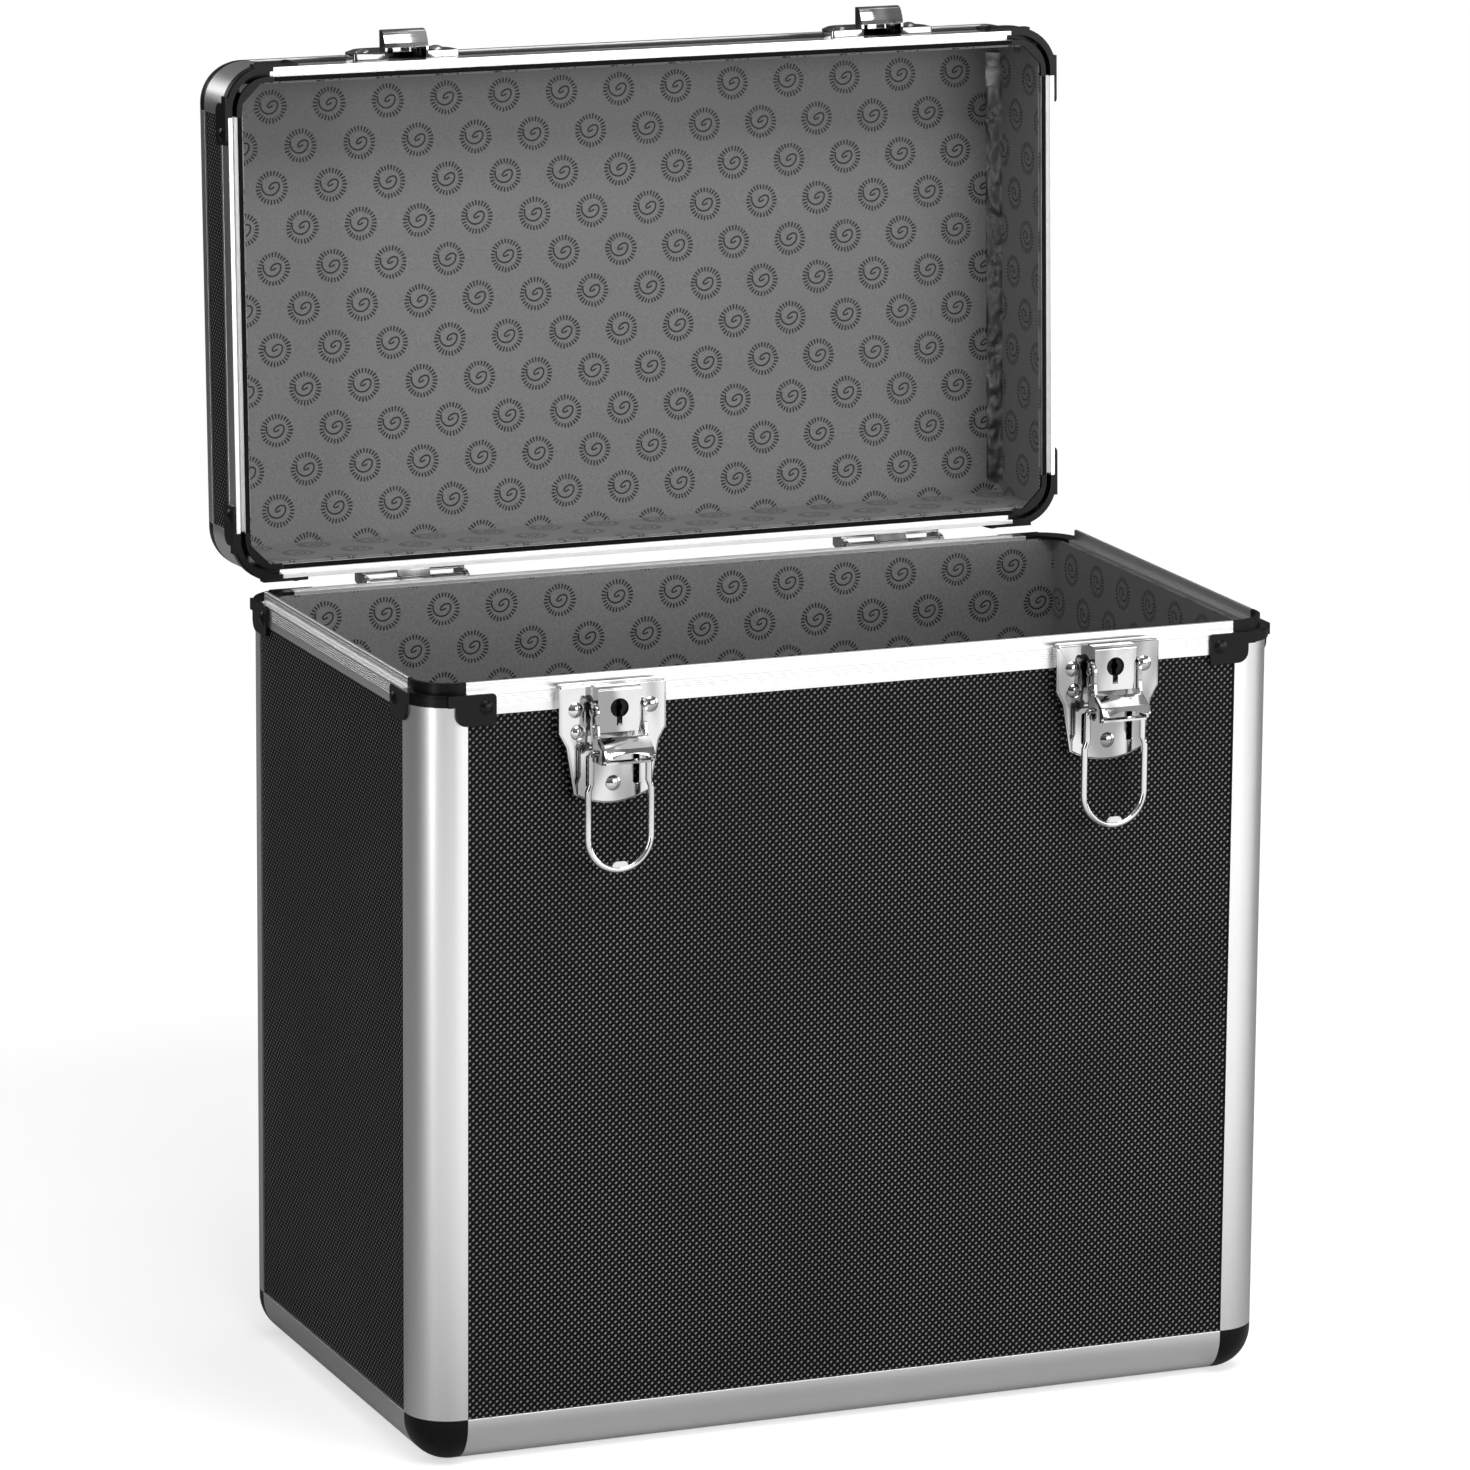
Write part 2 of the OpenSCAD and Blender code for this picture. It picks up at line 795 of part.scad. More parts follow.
// Ring of the corner above the panels, with the tongue or the groove of its rim
module corner_ring(tongue) {
    round_corner(rail_reach - seat_gap)
        difference() {
            union() {
                translate([-band_proud, -band_h])
                    square([band_proud + wall, band_h]);
                if (tongue)
                    translate([tongue_set, -eps])
                        square([tongue_t, tongue_h + eps]);
            }
            // shallow step along the outer top edge
            translate([-band_proud - eps, -0.8])
                square([0.5, 1]);
        }
}

module inner_web() {
    translate([wall - eps, wall - eps, -corner_web_t])
        linear_extrude(corner_web_t)
            polygon([[0, 0], [corner_web, 0], [0, corner_web]]);
}

module body_rim_corner(front) {
    difference() {
        union() {
            corner_ring(front);
            tabs();
            inner_web();
        }
        // the panels' ends and the lining lie below the ring
        translate([groove_start, rail_proud, -band_h - 1])
            cube([rail_reach, panel_t, band_h + 1 - rim_web]);
        translate([rail_proud, groove_start, -band_h - 1])
            cube([panel_t, rail_reach, band_h + 1 - rim_web]);
        lining_room();
        tab_rivet_holes();
    }
}

module tab_rivet_holes() {
    for (turn = [0, 1])
        flip(turn == 1, [1, -1, 0])
            translate([tab_rivet_x, 1, -tab_rivet_z])
                rotate([90, 0, 0])
                    cylinder(r = shank_r, h = 4);
}

module lid_rim_corner() {
    groove_low = tongue_set - tongue_gap;
    groove_w = tongue_t + 2 * tongue_gap;
    groove_d = tongue_h + tongue_gap;
    difference() {
        union() {
            round_corner(rail_reach - seat_gap)
                difference() {
                    translate([-band_proud, -band_h])
                        square([band_proud + wall, band_h]);
                    translate([-band_proud - eps, -0.8])
                        square([0.5, 1]);
                }
            tabs();
            inner_web();
        }
        round_corner(rail_reach)
            translate([groove_low, -groove_d])
                square([groove_w, groove_d + 1]);
        lining_room();
        tab_rivet_holes();
    }
}

module lining_room() {
    translate([wall, wall, -band_h - 1])
        cube([rail_reach, rail_reach, band_h + 1 - corner_web_t]);
}

module body_rim_corners() {
    color(black)
        for (side = corners)
            at_corner(side)
                translate([0, 0, body_h])
                    body_rim_corner(side[1] < 0);
}

module lid_rim_corners() {
    color(black)
        lid_place()
            for (side = corners)
                at_corner(side)
                    above_seam()
                        lid_rim_corner();
}

// A round rivet head on a short shank, with its seat at the origin and the head up
module rivet(r, h, shank) {
    ball = (r * r + h * h) / (2 * h);
    intersection() {
        translate([0, 0, h - ball])
            sphere(ball);
        cylinder(r = r, h = h);
    }
    translate([0, 0, -shank])
        cylinder(r = shank_r - 0.02, h = shank + eps);
}

module tab_rivets() {
    for (turn = [0, 1])
        flip(turn == 1, [1, -1, 0])
            translate([tab_rivet_x, -band_proud, -tab_rivet_z])
                rotate([90, 0, 0])
                    rivet(tab_rivet_r, tab_rivet_h, band_proud);
}

module body_rim_corner_rivets() {
    color(black)
        for (side = corners)
            at_corner(side)
                translate([0, 0, body_h])
                    tab_rivets();
}

module lid_rim_corner_rivets() {
    color(black)
        lid_place()
            for (side = corners)
                at_corner(side)
                    above_seam()
                        tab_rivets();
}

// ---------- linings ----------

// An open box of lining that covers the walls and one end
module lining(low, high) {
    x = half_w - wall;
    y = half_d - wall;
    difference() {
        translate([-x, -y, low])
            cube([2 * x, 2 * y, high - low]);
        translate([-x + lining_t, -y + lining_t, low + lining_t])
            cube([2 * (x - lining_t), 2 * (y - lining_t), high - low]);
    }
}

module body_lining() {
    color(grey_cloth)
        lining(wall, body_h - corner_web_t - seat_gap);
}

module lid_lining() {
    color(grey_cloth)
        lid_place()
            translate([0, 0, case_h])
                mirror([0, 0, 1])
                    difference() {
                    lining(wall, lid_in_h - corner_web_t - seat_gap);
                    // room for the tongue that runs round the body's front corners
                    for (side = corners)
                        translate([side[0] * (half_w - wall), side[1] * (half_d - wall),
                                   lid_in_h - tongue_h - 2 * tongue_gap])
                            linear_extrude(20)
                                polygon([[side[0], side[1]], [-side[0] * tongue_room, side[1]],
                                         [side[0], -side[1] * tongue_room]]);
                }
}

// ---------- latches ----------

// Puts a latch's frame on the rim's outer face: x to the right, y = -out, z = -drop
module latch_place(side) {
    translate([side * latch_x, -half_d, plate_top])
        children();
}

// Extrudes a side profile drawn in (out, drop) from x0 to x1
module side_profile(x0, x1) {
    translate([x0, 0, 0])
        rotate([90, 0, 90])
            linear_extrude(x1 - x0)
                rotate(180)
                    children();
}

// Extrudes a front outline drawn in (x, z) from one stand-off to another
module front_profile(out0, out1) {
    translate([0, -out0, 0])
        rotate([90, 0, 0])
            linear_extrude(out1 - out0)
                children();
}

// A bore through the latch's front, at (x, drop)
module front_bore(x, drop, r) {
    translate([x, 2, -drop])
        rotate([90, 0, 0])
            cylinder(r = r, h = 30);
}

// A bore through the sides, at (out, drop)
module side_bore(out, drop, r) {
    translate([-30, -out, -drop])
        rotate([0, 90, 0])
            cylinder(r = r, h = 60);
}

// Outline of the base plate, drawn in by a margin
function latch_outline(m) =
    let (c = latch_half_low - m, bow_r = (c * c + latch_bow * latch_bow) / (2 * latch_bow),
         a = asin(c / bow_r), mid = [0, m + bow_r - latch_h])
    concat(soften([[latch_half_top - m, -shoulder_top], [latch_half_top - m, -m],
                   [m - latch_half_top, -m], [m - latch_half_top, -shoulder_top]],
                  [0, 1.4, 1.4, 0]),
           [[m - latch_half_mid, -shoulder_low]],
           arc(mid, bow_r, 270 - a, 270 + a, 12),
           [[latch_half_mid - m, -shoulder_low]]);

latch_rivets = [[-upper_rivet_half, upper_rivet_drop], [upper_rivet_half, upper_rivet_drop],
                [0, lower_rivet_drop]];

module latch_base(side) {
    color(bright)
        latch_place(side) {
            for (x = sides)
                translate([x * boss_half, -latch_face, -boss_drop])
                    rotate([90, 0, 0])
                        boss();
            difference() {
                front_profile(-rail_proud + seat_gap, latch_face)
                    polygon(latch_outline(0));
                front_profile(-rail_proud - 1, latch_face - sheet_t)
                    polygon(latch_outline(sheet_t));
                // clear of the body's rim, and of the lid's rim above the seam
                translate([-50, -seat_gap, -latch_rise - body_flange_h - seat_gap])
                    cube([100, 5, 60]);
                translate([-50, -0.45, -latch_rise - 0.2])
                    cube([100, 5, 60]);
                for (spot = latch_rivets)
                    front_bore(spot[0], spot[1], shank_r);
                front_bore(0, key_drop, spigot_r + pin_play);
                for (x = sides)
                    front_profile(0, 20)
                        translate([x * (cheek_in + lever_t / 2), -window_low])
                            polygon(soften([[-window_w / 2, 0], [window_w / 2, 0],
                                            [window_w / 2, window_h],
                                            [-window_w / 2, window_h]],
                                           [0.6, 0.6, 0.6, 0.6]));
            }
        }
}

// A pressed dimple that stiffens the plate, rooted in its sheet
module boss() {
    root = sheet_t / 3;
    ball = (boss_r * boss_r + boss_h * boss_h) / (2 * boss_h);
    translate([0, 0, -root])
        intersection() {
            translate([0, 0, root + boss_h - ball])
                sphere(ball);
            cylinder(r = boss_r, h = root + boss_h);
        }
}

window_low = 40;

module latch_base_left() { latch_base(-1); }
module latch_base_right() { latch_base(1); }

module lock_box(side) {
    box_top = 0.4;
    color(bright)
        latch_place(side)
            difference() {
                side_profile(-box_half, box_half)
                    polygon(soften([[latch_face, box_top], [latch_face, box_top + box_h],
                                    [box_face, box_top + box_h], [box_face, box_top]],
                                   [0, 0, 0, 1.3]));
                side_profile(sheet_t - box_half, box_half - sheet_t)
                    polygon([[latch_face - 1, box_top + sheet_t], [latch_face - 1, 40],
                             [box_face - sheet_t, 40], [box_face - sheet_t, box_top + sheet_t]]);
                front_profile(latch_face + 1, 20) {
                    translate([0, -key_drop])
                        circle(key_r);
                    translate([-key_slot / 2, -key_drop - key_slot_drop])
                        square([key_slot, key_slot_drop]);
                }
                side_bore(pin_out, pin_drop, pin_r + pin_play);
                cam_window(box_half + 1);
            }
}

module lock_box_left() { lock_box(-1); }
module lock_box_right() { lock_box(1); }

// Room for the cam's tip as it swings from below to the side
module cam_window(reach) {
    low = key_drop - cam_half - cam_gap;
    swing = sqrt(cam_len * cam_len - pow(box_half - sheet_t, 2));
    side_profile(-reach, reach)
        translate([cam_out - cam_gap, low])
            square([cam_t + 2 * cam_gap, swing + 2 * cam_half + 2 * cam_gap]);
}

// Plug with its keyway and spigot, and the cam that locks the lever
module lock_cam(side) {
    back = latch_face + cam_gap;
    front = box_face - sheet_t - cam_gap;
    color(bright)
        latch_place(side)
            difference() {
                union() {
                    translate([0, -back, -key_drop])
                        rotate([90, 0, 0])
                            cylinder(r = plug_r, h = front - back);
                    translate([0, sheet_t + 0.6 - latch_face, -key_drop])
                        rotate([90, 0, 0])
                            cylinder(r = spigot_r, h = back - latch_face + sheet_t + 0.7);
                    front_profile(cam_out, cam_out + cam_t)
                        translate([0, -key_drop])
                            polygon(concat([[cam_half, 0], [-cam_half, 0]],
                                           arc([0, 0], cam_len, 263, 277, 4)));
                }
                front_profile(front - 3.2, front + 1)
                    translate([0, -key_drop]) {
                        translate([-0.8, -3.6])
                            square([1.6, 6.4]);
                        circle(1.5);
                    }
            }
}

module lock_cam_left() { lock_cam(-1); }
module lock_cam_right() { lock_cam(1); }

// Side outline of the lever's cheeks, in (out, drop)
module cheek_outline() {
    difference() {
        union() {
            translate([pin_out, pin_drop])
                circle(4.5);
            polygon(soften([[pin_out - 3.6, pin_drop + 2.4], [pin_out - 2, bail_drop - 6],
                            [bail_out - 2.8, bail_drop + 1.4], [bail_out + 0.6, bail_drop + 3.6],
                            [lip_out - 4.2, bail_drop + 3.2], [lip_out - 0.9, lip_drop - 0.4],
                            [lip_out - 2.9, lip_drop - 3.2], [root_out, root_drop],
                            [pin_out + 4.3, pin_drop + 4.6], [pin_out + 4.1, pin_drop - 1.5]],
                           [0, 4, 2, 2, 2, 0.6, 2.5, 2, 3, 0]));
        }
        // the tip of the cam turns into this notch to lock the lever
        translate([0, key_drop - cam_half - cam_gap])
            square([cam_out + cam_t + cam_gap, 6.1]);
    }
}

root_out = 14.8;
root_drop = 18.9;

module latch_lever(side) {
    color(bright)
        latch_place(side)
            difference() {
                union() {
                    for (x = [-cheek_out, cheek_in])
                        side_profile(x, x + lever_t)
                            cheek_outline();
                    // thumb tab, from its root to the curled lip
                    side_profile(-cheek_in - eps, cheek_in + eps)
                        polygon(soften([[root_out, root_drop], [lip_out - 2.9, lip_drop - 3.2],
                                        [lip_out, lip_drop], [lip_out - 1, lip_drop + 0.3],
                                        [lip_out - 3.7, lip_drop - 2.3],
                                        [root_out - 1.2, root_drop + 0.5]],
                                       [0.3, 2.5, 0.3, 0.3, 1.8, 0.3]));
                    // dished plate that closes the tab from below
                    side_profile(-cheek_in - eps, cheek_in + eps)
                        polygon(soften([[lip_out - 3, lip_drop + 1.7],
                                        [lip_out - 2.6, lip_drop + 2.6],
                                        [lip_out - 5.4, bail_drop + 3.4],
                                        [lip_out - 8.2, bail_drop + 3.3],
                                        [lip_out - 8.2, bail_drop + 2.3],
                                        [lip_out - 5.6, bail_drop + 2.4]],
                                       [0.3, 0.3, 1.5, 0.3, 0.3, 1.2]));
                }
                // arch in the lip's lower edge
                translate([0, -lip_out + 3, -lip_drop - 0.3 - arch_r + lip_arch])
                    rotate([90, 0, 0])
                        cylinder(r = arch_r, h = 10);
                side_bore(pin_out, pin_drop, pin_r + pin_play);
                side_bore(bail_out, bail_drop, wire_r + pin_play);
            }
}

arch_r = (pow(cheek_in - 0.6, 2) + lip_arch * lip_arch) / (2 * lip_arch);

module latch_lever_left() { latch_lever(-1); }
module latch_lever_right() { latch_lever(1); }

// Headed stub pins, one set in each side of a lock box
module lever_pins() {
    inner = box_half - sheet_t;
    color(bright)
        for (side = sides, x = sides)
            latch_place(side)
                flip(x < 0, [1, 0, 0])
                    translate([inner, -pin_out, -pin_drop])
                        rotate([0, 90, 0]) {
                            cylinder(r = pin_r, h = cheek_out + side_play - inner + 0.2);
                            translate([0, 0, cheek_out + side_play - inner])
                                cylinder(r = pin_r + 0.9, h = 0.5);
                        }
}

// ---------- bails ----------

// A bend of wire in the loop's plane, about (x, z)
module wire_bend(centre, r, start, sweep) {
    translate([centre[0], 0, centre[1]])
        rotate([90, 0, 0])
            rotate([0, 0, start])
                rotate_extrude(angle = sweep)
                    translate([r, 0])
                        circle(wire_r);
}

module latch_bail(side) {
    bend = 1.45;
    tip = cheek_in - 0.75;
    foot = bail_len - wire_r - loop_half;
    color(bright)
        latch_place(side)
            translate([0, -bail_out, -bail_drop]) {
                for (x = sides)
                    flip(x < 0, [1, 0, 0]) {
                        translate([tip, 0, 0])
                            rotate([0, 90, 0])
                                cylinder(r = wire_r, h = loop_half - bend - tip);
                        wire_bend([loop_half - bend, -bend], bend, 0, 90);
                        translate([loop_half, 0, -foot])
                            cylinder(r = wire_r, h = foot - bend);
                    }
                wire_bend([0, -foot], loop_half, 180, 180);
                // flattened saddle that seats behind the keeper's hook
                translate([0, 1, 0])
                    front_profile(0, 2)
                        translate([0, -bail_len])
                            polygon(soften([[-saddle_half, 0.7], [saddle_half, 0.7],
                                            [saddle_half, 2 * wire_r + saddle_in],
                                            [-saddle_half, 2 * wire_r + saddle_in]],
                                           [1, 1, 1.9, 1.9]));
            }
}

module latch_bail_left() { latch_bail(-1); }
module latch_bail_right() { latch_bail(1); }

// ---------- keepers ----------

// Puts a keeper's frame on the lid's front: x to the right, y = -out, z up the lid
module keeper_place(side) {
    lid_place()
        translate([side * latch_x, -half_d, lid_z])
            children();
}

// Outline of the keeper's plate, drawn in by a margin
function keeper_outline(m) =
    let (w = keeper_half - m, low = keeper_start + m, high = keeper_start + keeper_len - m)
    soften([[-w, low], [w, low], [w, low + 11], [w * 0.6, high], [-w * 0.6, high],
            [-w, low + 11]], [1.5, 1.5, 7, 8, 8, 7]);

// Plan of the hook, square in front and round at the back
module hook_plan(half, end) {
    translate([0, end - half])
        circle(half);
    translate([-half, 0])
        square([2 * half, end - half]);
}

// Side outline of the hook in (out, -up the lid): a rolled lip, a dome and a groove
// behind it
module hook_side() {
    base = keeper_face - sheet_t;
    rotate(-90)
        polygon(soften([[keeper_start - 0.2, base], [keeper_start - 0.2, hook_mouth],
                        [keeper_start + 0.2, hook_mouth + 1.8],
                        [keeper_start + 2.6, hook_out - 0.9], [keeper_start + 5, hook_out],
                        [hook_end - 3, hook_out - 1.2], [hook_end, hook_out - 3.4],
                        [hook_end, hook_out - 5.6], [hook_end - 2.2, keeper_face],
                        [hook_end - 2.2, base]],
                       [0, 0.3, 1, 1.2, 6, 3, 1, 1.5, 0.6, 0]));
}

module keeper(side) {
    color(bright)
        keeper_place(side)
            difference() {
                union() {
                    front_profile(-rail_proud + seat_gap, keeper_face)
                        polygon(keeper_outline(0));
                    intersection() {
                        side_profile(-hook_half, hook_half)
                            hook_side();
                        front_profile(keeper_face - sheet_t, 20)
                            hook_plan(hook_half, hook_end);
                    }
                }
                front_profile(-rail_proud - 1, keeper_face - sheet_t)
                    polygon(keeper_outline(sheet_t));
                // clear of the lid's rim flange
                translate([-50, -seat_gap, -1])
                    cube([100, 5, lid_flange_h + 1 + seat_gap]);
                // hollow of the hook, open towards the latch
                intersection() {
                    side_profile(sheet_t - hook_half, hook_half - sheet_t)
                        rotate(-90)
                            polygon(soften([[-1, -1], [-1, hook_mouth],
                                            [keeper_start + 0.9, hook_mouth],
                                            [keeper_start + 3.1, hook_out - 2],
                                            [keeper_start + 5.2, hook_out - 1.1],
                                            [hook_end - 3.4, hook_out - 2.4],
                                            [hook_end - 3.4, -1]],
                                           [0, 0, 0, 1, 3, 2, 0]));
                    front_profile(-2, 20)
                        hook_plan(hook_half - sheet_t, hook_end - 3.2);
                }
                for (x = sides)
                    translate([x * upper_rivet_half, 2, keeper_rivet_z])
                        rotate([90, 0, 0])
                            cylinder(r = shank_r, h = 30);
            }
}

module keeper_left() { keeper(-1); }
module keeper_right() { keeper(1); }

// ---------- hinges ----------

// Puts a hinge's frame on the back: x along the axis, profiles in (out, up)
module hinge_profile(side, x0, x1) {
    translate([side * hinge_x + x0, half_d, body_h])
        rotate([90, 0, 90])
            linear_extrude(x1 - x0)
                children();
}

hinge_half = hinge_w / 2;
arm_in = hinge_half - 1.5;
lid_knuckle = 6.85;
body_knuckle = lid_knuckle + knuckle_gap;
axis_p = [hinge_out, -hinge_drop];
leaf_rivet_x = 12;
leaf_rivet_z = 18;

module hinge_bore(side) {
    hinge_profile(side, -50, 50)
        translate(axis_p)
            circle(hinge_pin_r + pin_play);
}

module leaf_bores(side) {
    for (x = sides, z = sides)
        translate([side * hinge_x + x * leaf_rivet_x, half_d - 3, body_h + z * leaf_rivet_z])
            rotate([-90, 0, 0])
                cylinder(r = shank_r, h = 10);
}

// Side outline of a stop arm: a boss about the pin, and a ledge for the open leaf
module stop_arm_outline() {
    n = [-cos(lid_open), sin(lid_open)];
    d = [sin(lid_open), cos(lid_open)];
    rest = hinge_out - leaf_t - stop_gap;
    translate(axis_p)
        circle(rest - 0.1);
    polygon([axis_p + rest * n, axis_p, axis_p + [1.5, -3], axis_p + [3, -3.3],
             axis_p + stop_reach * d + (rest - 3.4) * n, axis_p + stop_reach * d + rest * n]);
    polygon([[leaf_t - 0.4, -14], [leaf_t - 0.4, -0.6], [hinge_out, -0.6],
             [hinge_out + 2.2, -4.8], [hinge_out - 1, -6.6]]);
}

module body_hinge_leaf(side) {
    difference() {
        union() {
            hinge_profile(side, -hinge_half, hinge_half)
                polygon([[seat_gap, -0.5], [seat_gap, -body_flange_h - seat_gap],
                         [seat_gap - rail_proud, -body_flange_h - seat_gap],
                         [seat_gap - rail_proud, -leaf_h], [leaf_t, -leaf_h], [leaf_t, -0.5]]);
            for (x = [-arm_in - eps, body_knuckle])
                hinge_profile(side, x, x + arm_in - body_knuckle + eps) {
                    translate(axis_p)
                        circle(knuckle_r);
                    polygon([[leaf_t - 0.4, -4.6], [hinge_out, -hinge_drop - knuckle_r],
                             [hinge_out, -hinge_drop - 1.2], [leaf_t - 0.4, -2.6]]);
                }
            for (x = [-hinge_half, arm_in])
                hinge_profile(side, x, x + hinge_half - arm_in)
                    stop_arm_outline();
        }
        hinge_bore(side);
        leaf_bores(side);
    }
}

module body_hinge_leaves() {
    color(bright)
        for (side = sides)
            body_hinge_leaf(side);
}

module lid_hinge_leaf(side) {
    low = lid_z - body_h;
    difference() {
        union() {
            hinge_profile(side, -hinge_half, hinge_half)
                polygon([[seat_gap, low + 0.2], [leaf_t, low + 0.2], [leaf_t, low + leaf_h],
                         [seat_gap - rail_proud, low + leaf_h],
                         [seat_gap - rail_proud, low + lid_flange_h + seat_gap],
                         [seat_gap, low + lid_flange_h + seat_gap]]);
            hinge_profile(side, -lid_knuckle, lid_knuckle) {
                translate(axis_p)
                    circle(knuckle_r);
                polygon([[seat_gap + 0.2, low + 0.2], [hinge_out - 1, -hinge_drop],
                         [hinge_out, knuckle_r - hinge_drop], [leaf_t, low + 1.8],
                         [seat_gap + 0.2, low + 1.8]]);
            }
        }
        hinge_bore(side);
        leaf_bores(side);
    }
}

module lid_hinge_leaves() {
    color(bright)
        lid_place()
            for (side = sides)
                lid_hinge_leaf(side);
}

// Headed pins through the arms and knuckles
module hinge_pins() {
    color(bright)
        for (side = sides)
            translate([side * hinge_x - hinge_half - 0.9, hinge_y, hinge_z])
                rotate([0, 90, 0]) {
                    cylinder(r = hinge_pin_r, h = hinge_w + 1.8);
                    cylinder(r = hinge_pin_r + 0.9, h = 0.85);
                    translate([0, 0, hinge_w + 0.95])
                        cylinder(r = hinge_pin_r + 0.9, h = 0.85);
                }
}

// ---------- rivets ----------

module leaf_rivets(z) {
    for (side = sides, x = sides)
        translate([side * hinge_x + x * leaf_rivet_x, half_d + leaf_t, body_h + z * leaf_rivet_z])
            rotate([-90, 0, 0])
                rivet(rivet_r, rivet_h, leaf_t + rail_proud - 2 * seat_gap);
}

// Bright rivets of the latches and of the hinges' body leaves
module case_rivets() {
    color(bright) {
        for (side = sides)
            latch_place(side)
                for (spot = latch_rivets)
                    translate([spot[0], -latch_face, -spot[1]])
                        rotate([90, 0, 0])
                            rivet(rivet_r, rivet_h,
                                  latch_face - seat_gap + (spot[0] == 0 ? rail_proud - seat_gap : 0));
        leaf_rivets(-1);
    }
}

// Bright rivets of the keepers, of the hinges' lid leaves and of the handle's brackets
module lid_rivets() {
    color(bright)
        lid_place() {
            for (side = sides, x = sides)
                translate([side * latch_x + x * upper_rivet_half, -half_d - keeper_face,
                           lid_z + keeper_rivet_z])
                    rotate([90, 0, 0])
                        rivet(rivet_r, rivet_h, keeper_face + rail_proud - 2 * seat_gap);
            leaf_rivets(1);
            for (side = sides, x = sides, y = sides)
                translate([side * bracket_x + x * foot_rivet_x, y * foot_rivet_y,
                           top_panel_z + bracket_t + seat_gap])
                    rivet(rivet_r - 0.5, rivet_h, bracket_t);
        }
}

// ---------- handle ----------

foot_rivet_x = foot_w / 2 - 4.6;
foot_rivet_y = foot_d / 2 - 5;

module handle_bracket() {
    ear = grip_w / 2 + ear_play;
    difference() {
        union() {
            linear_extrude(bracket_t)
                polygon(soften([[-foot_w / 2, -foot_d / 2], [foot_w / 2, -foot_d / 2],
                                [foot_w / 2, foot_d / 2], [-foot_w / 2, foot_d / 2]],
                               [6, 6, 6, 6]));
            for (x = [-ear - bracket_t, ear])
                translate([x, 0, 0])
                    rotate([90, 0, 90])
                        linear_extrude(bracket_t) {
                            translate([0, handle_axis_h - seat_gap])
                                circle(5);
                            polygon([[-8.5, 0], [8.5, 0], [4.9, handle_axis_h],
                                     [-4.9, handle_axis_h]]);
                        }
            // pressed pads on which the folded handle rests
            for (y = sides)
                translate([0, y * (foot_d / 2 - 3.6), 0])
                    cylinder(r = 3, h = handle_axis_h - grip_t / 2 - 0.3);
        }
        translate([-50, 0, handle_axis_h - seat_gap])
            rotate([0, 90, 0])
                cylinder(r = handle_pin_r + 0.02, h = 100);
        for (x = sides, y = sides)
            translate([x * foot_rivet_x, y * foot_rivet_y, -1])
                cylinder(r = shank_r, h = 5);
    }
}

module handle_brackets() {
    color(bright)
        lid_place()
            for (side = sides)
                translate([side * bracket_x, 0, top_panel_z + seat_gap])
                    handle_bracket();
}

module handle_pins() {
    ear_out = grip_w / 2 + ear_play + bracket_t;
    color(bright)
        lid_place()
            for (side = sides)
                translate([side * bracket_x - ear_out - 1.1, 0, handle_z])
                    rotate([0, 90, 0]) {
                        cylinder(r = handle_pin_r, h = 2 * ear_out + 2.2);
                        cylinder(r = handle_pin_r + 1.2, h = 1);
                        translate([0, 0, 2 * ear_out + 1.2])
                            cylinder(r = handle_pin_r + 1.2, h = 1);
                    }
}

// Section of the handle, centred on its axis
module grip_section() {
    a = grip_w / 2;
    b = grip_t / 2;
    polygon(soften([[-a, -b], [a, -b], [a, b], [-a, b]],
                   [grip_edge, grip_edge, grip_edge, grip_edge], 6));
}

// The handle lies folded towards the hinges
module handle_grip() {
    straight = handle_reach - handle_bend;
    color(black)
        lid_place()
            translate([0, 0, handle_z])
                difference() {
                    union() {
                        translate([handle_bend - bracket_x, handle_reach, 0])
                            rotate([90, 0, 90])
                                linear_extrude(2 * (bracket_x - handle_bend))
                                    grip_section();
                        for (side = sides)
                            flip(side < 0, [1, 0, 0]) {
                                translate([bracket_x - handle_bend, straight, 0])
                                    rotate_extrude(angle = 90)
                                        translate([handle_bend, 0])
                                            grip_section();
                                translate([bracket_x, straight, 0])
                                    rotate([90, 0, 0])
                                        linear_extrude(straight)
                                            grip_section();
                                translate([bracket_x, 0, 0])
                                    rotate([0, 90, 0])
                                        rotate_extrude()
                                            intersection() {
                                                rotate(90)
                                                    grip_section();
                                                translate([0, -50])
                                                    square([50, 100]);
                                            }
                            }
                    }
                    translate([-100, 0, 0])
                        rotate([0, 90, 0])
                            cylinder(r = handle_pin_r + pin_play, h = 200);
                    // ring grooves at both ends of the grip
                    for (x = sides, i = [0:2])
                        translate([x * (bracket_x - handle_bend - 3 - 3.2 * i) - 0.6,
                                   handle_reach, 0])
                            rotate([90, 0, 90])
                                linear_extrude(1.2)
                                    difference() {
                                        square([grip_w + 4, grip_t + 4], center = true);
                                        square([grip_w - 1.4, grip_t - 1.4], center = true);
                                    }
                }
}

// ---------- drawing ----------

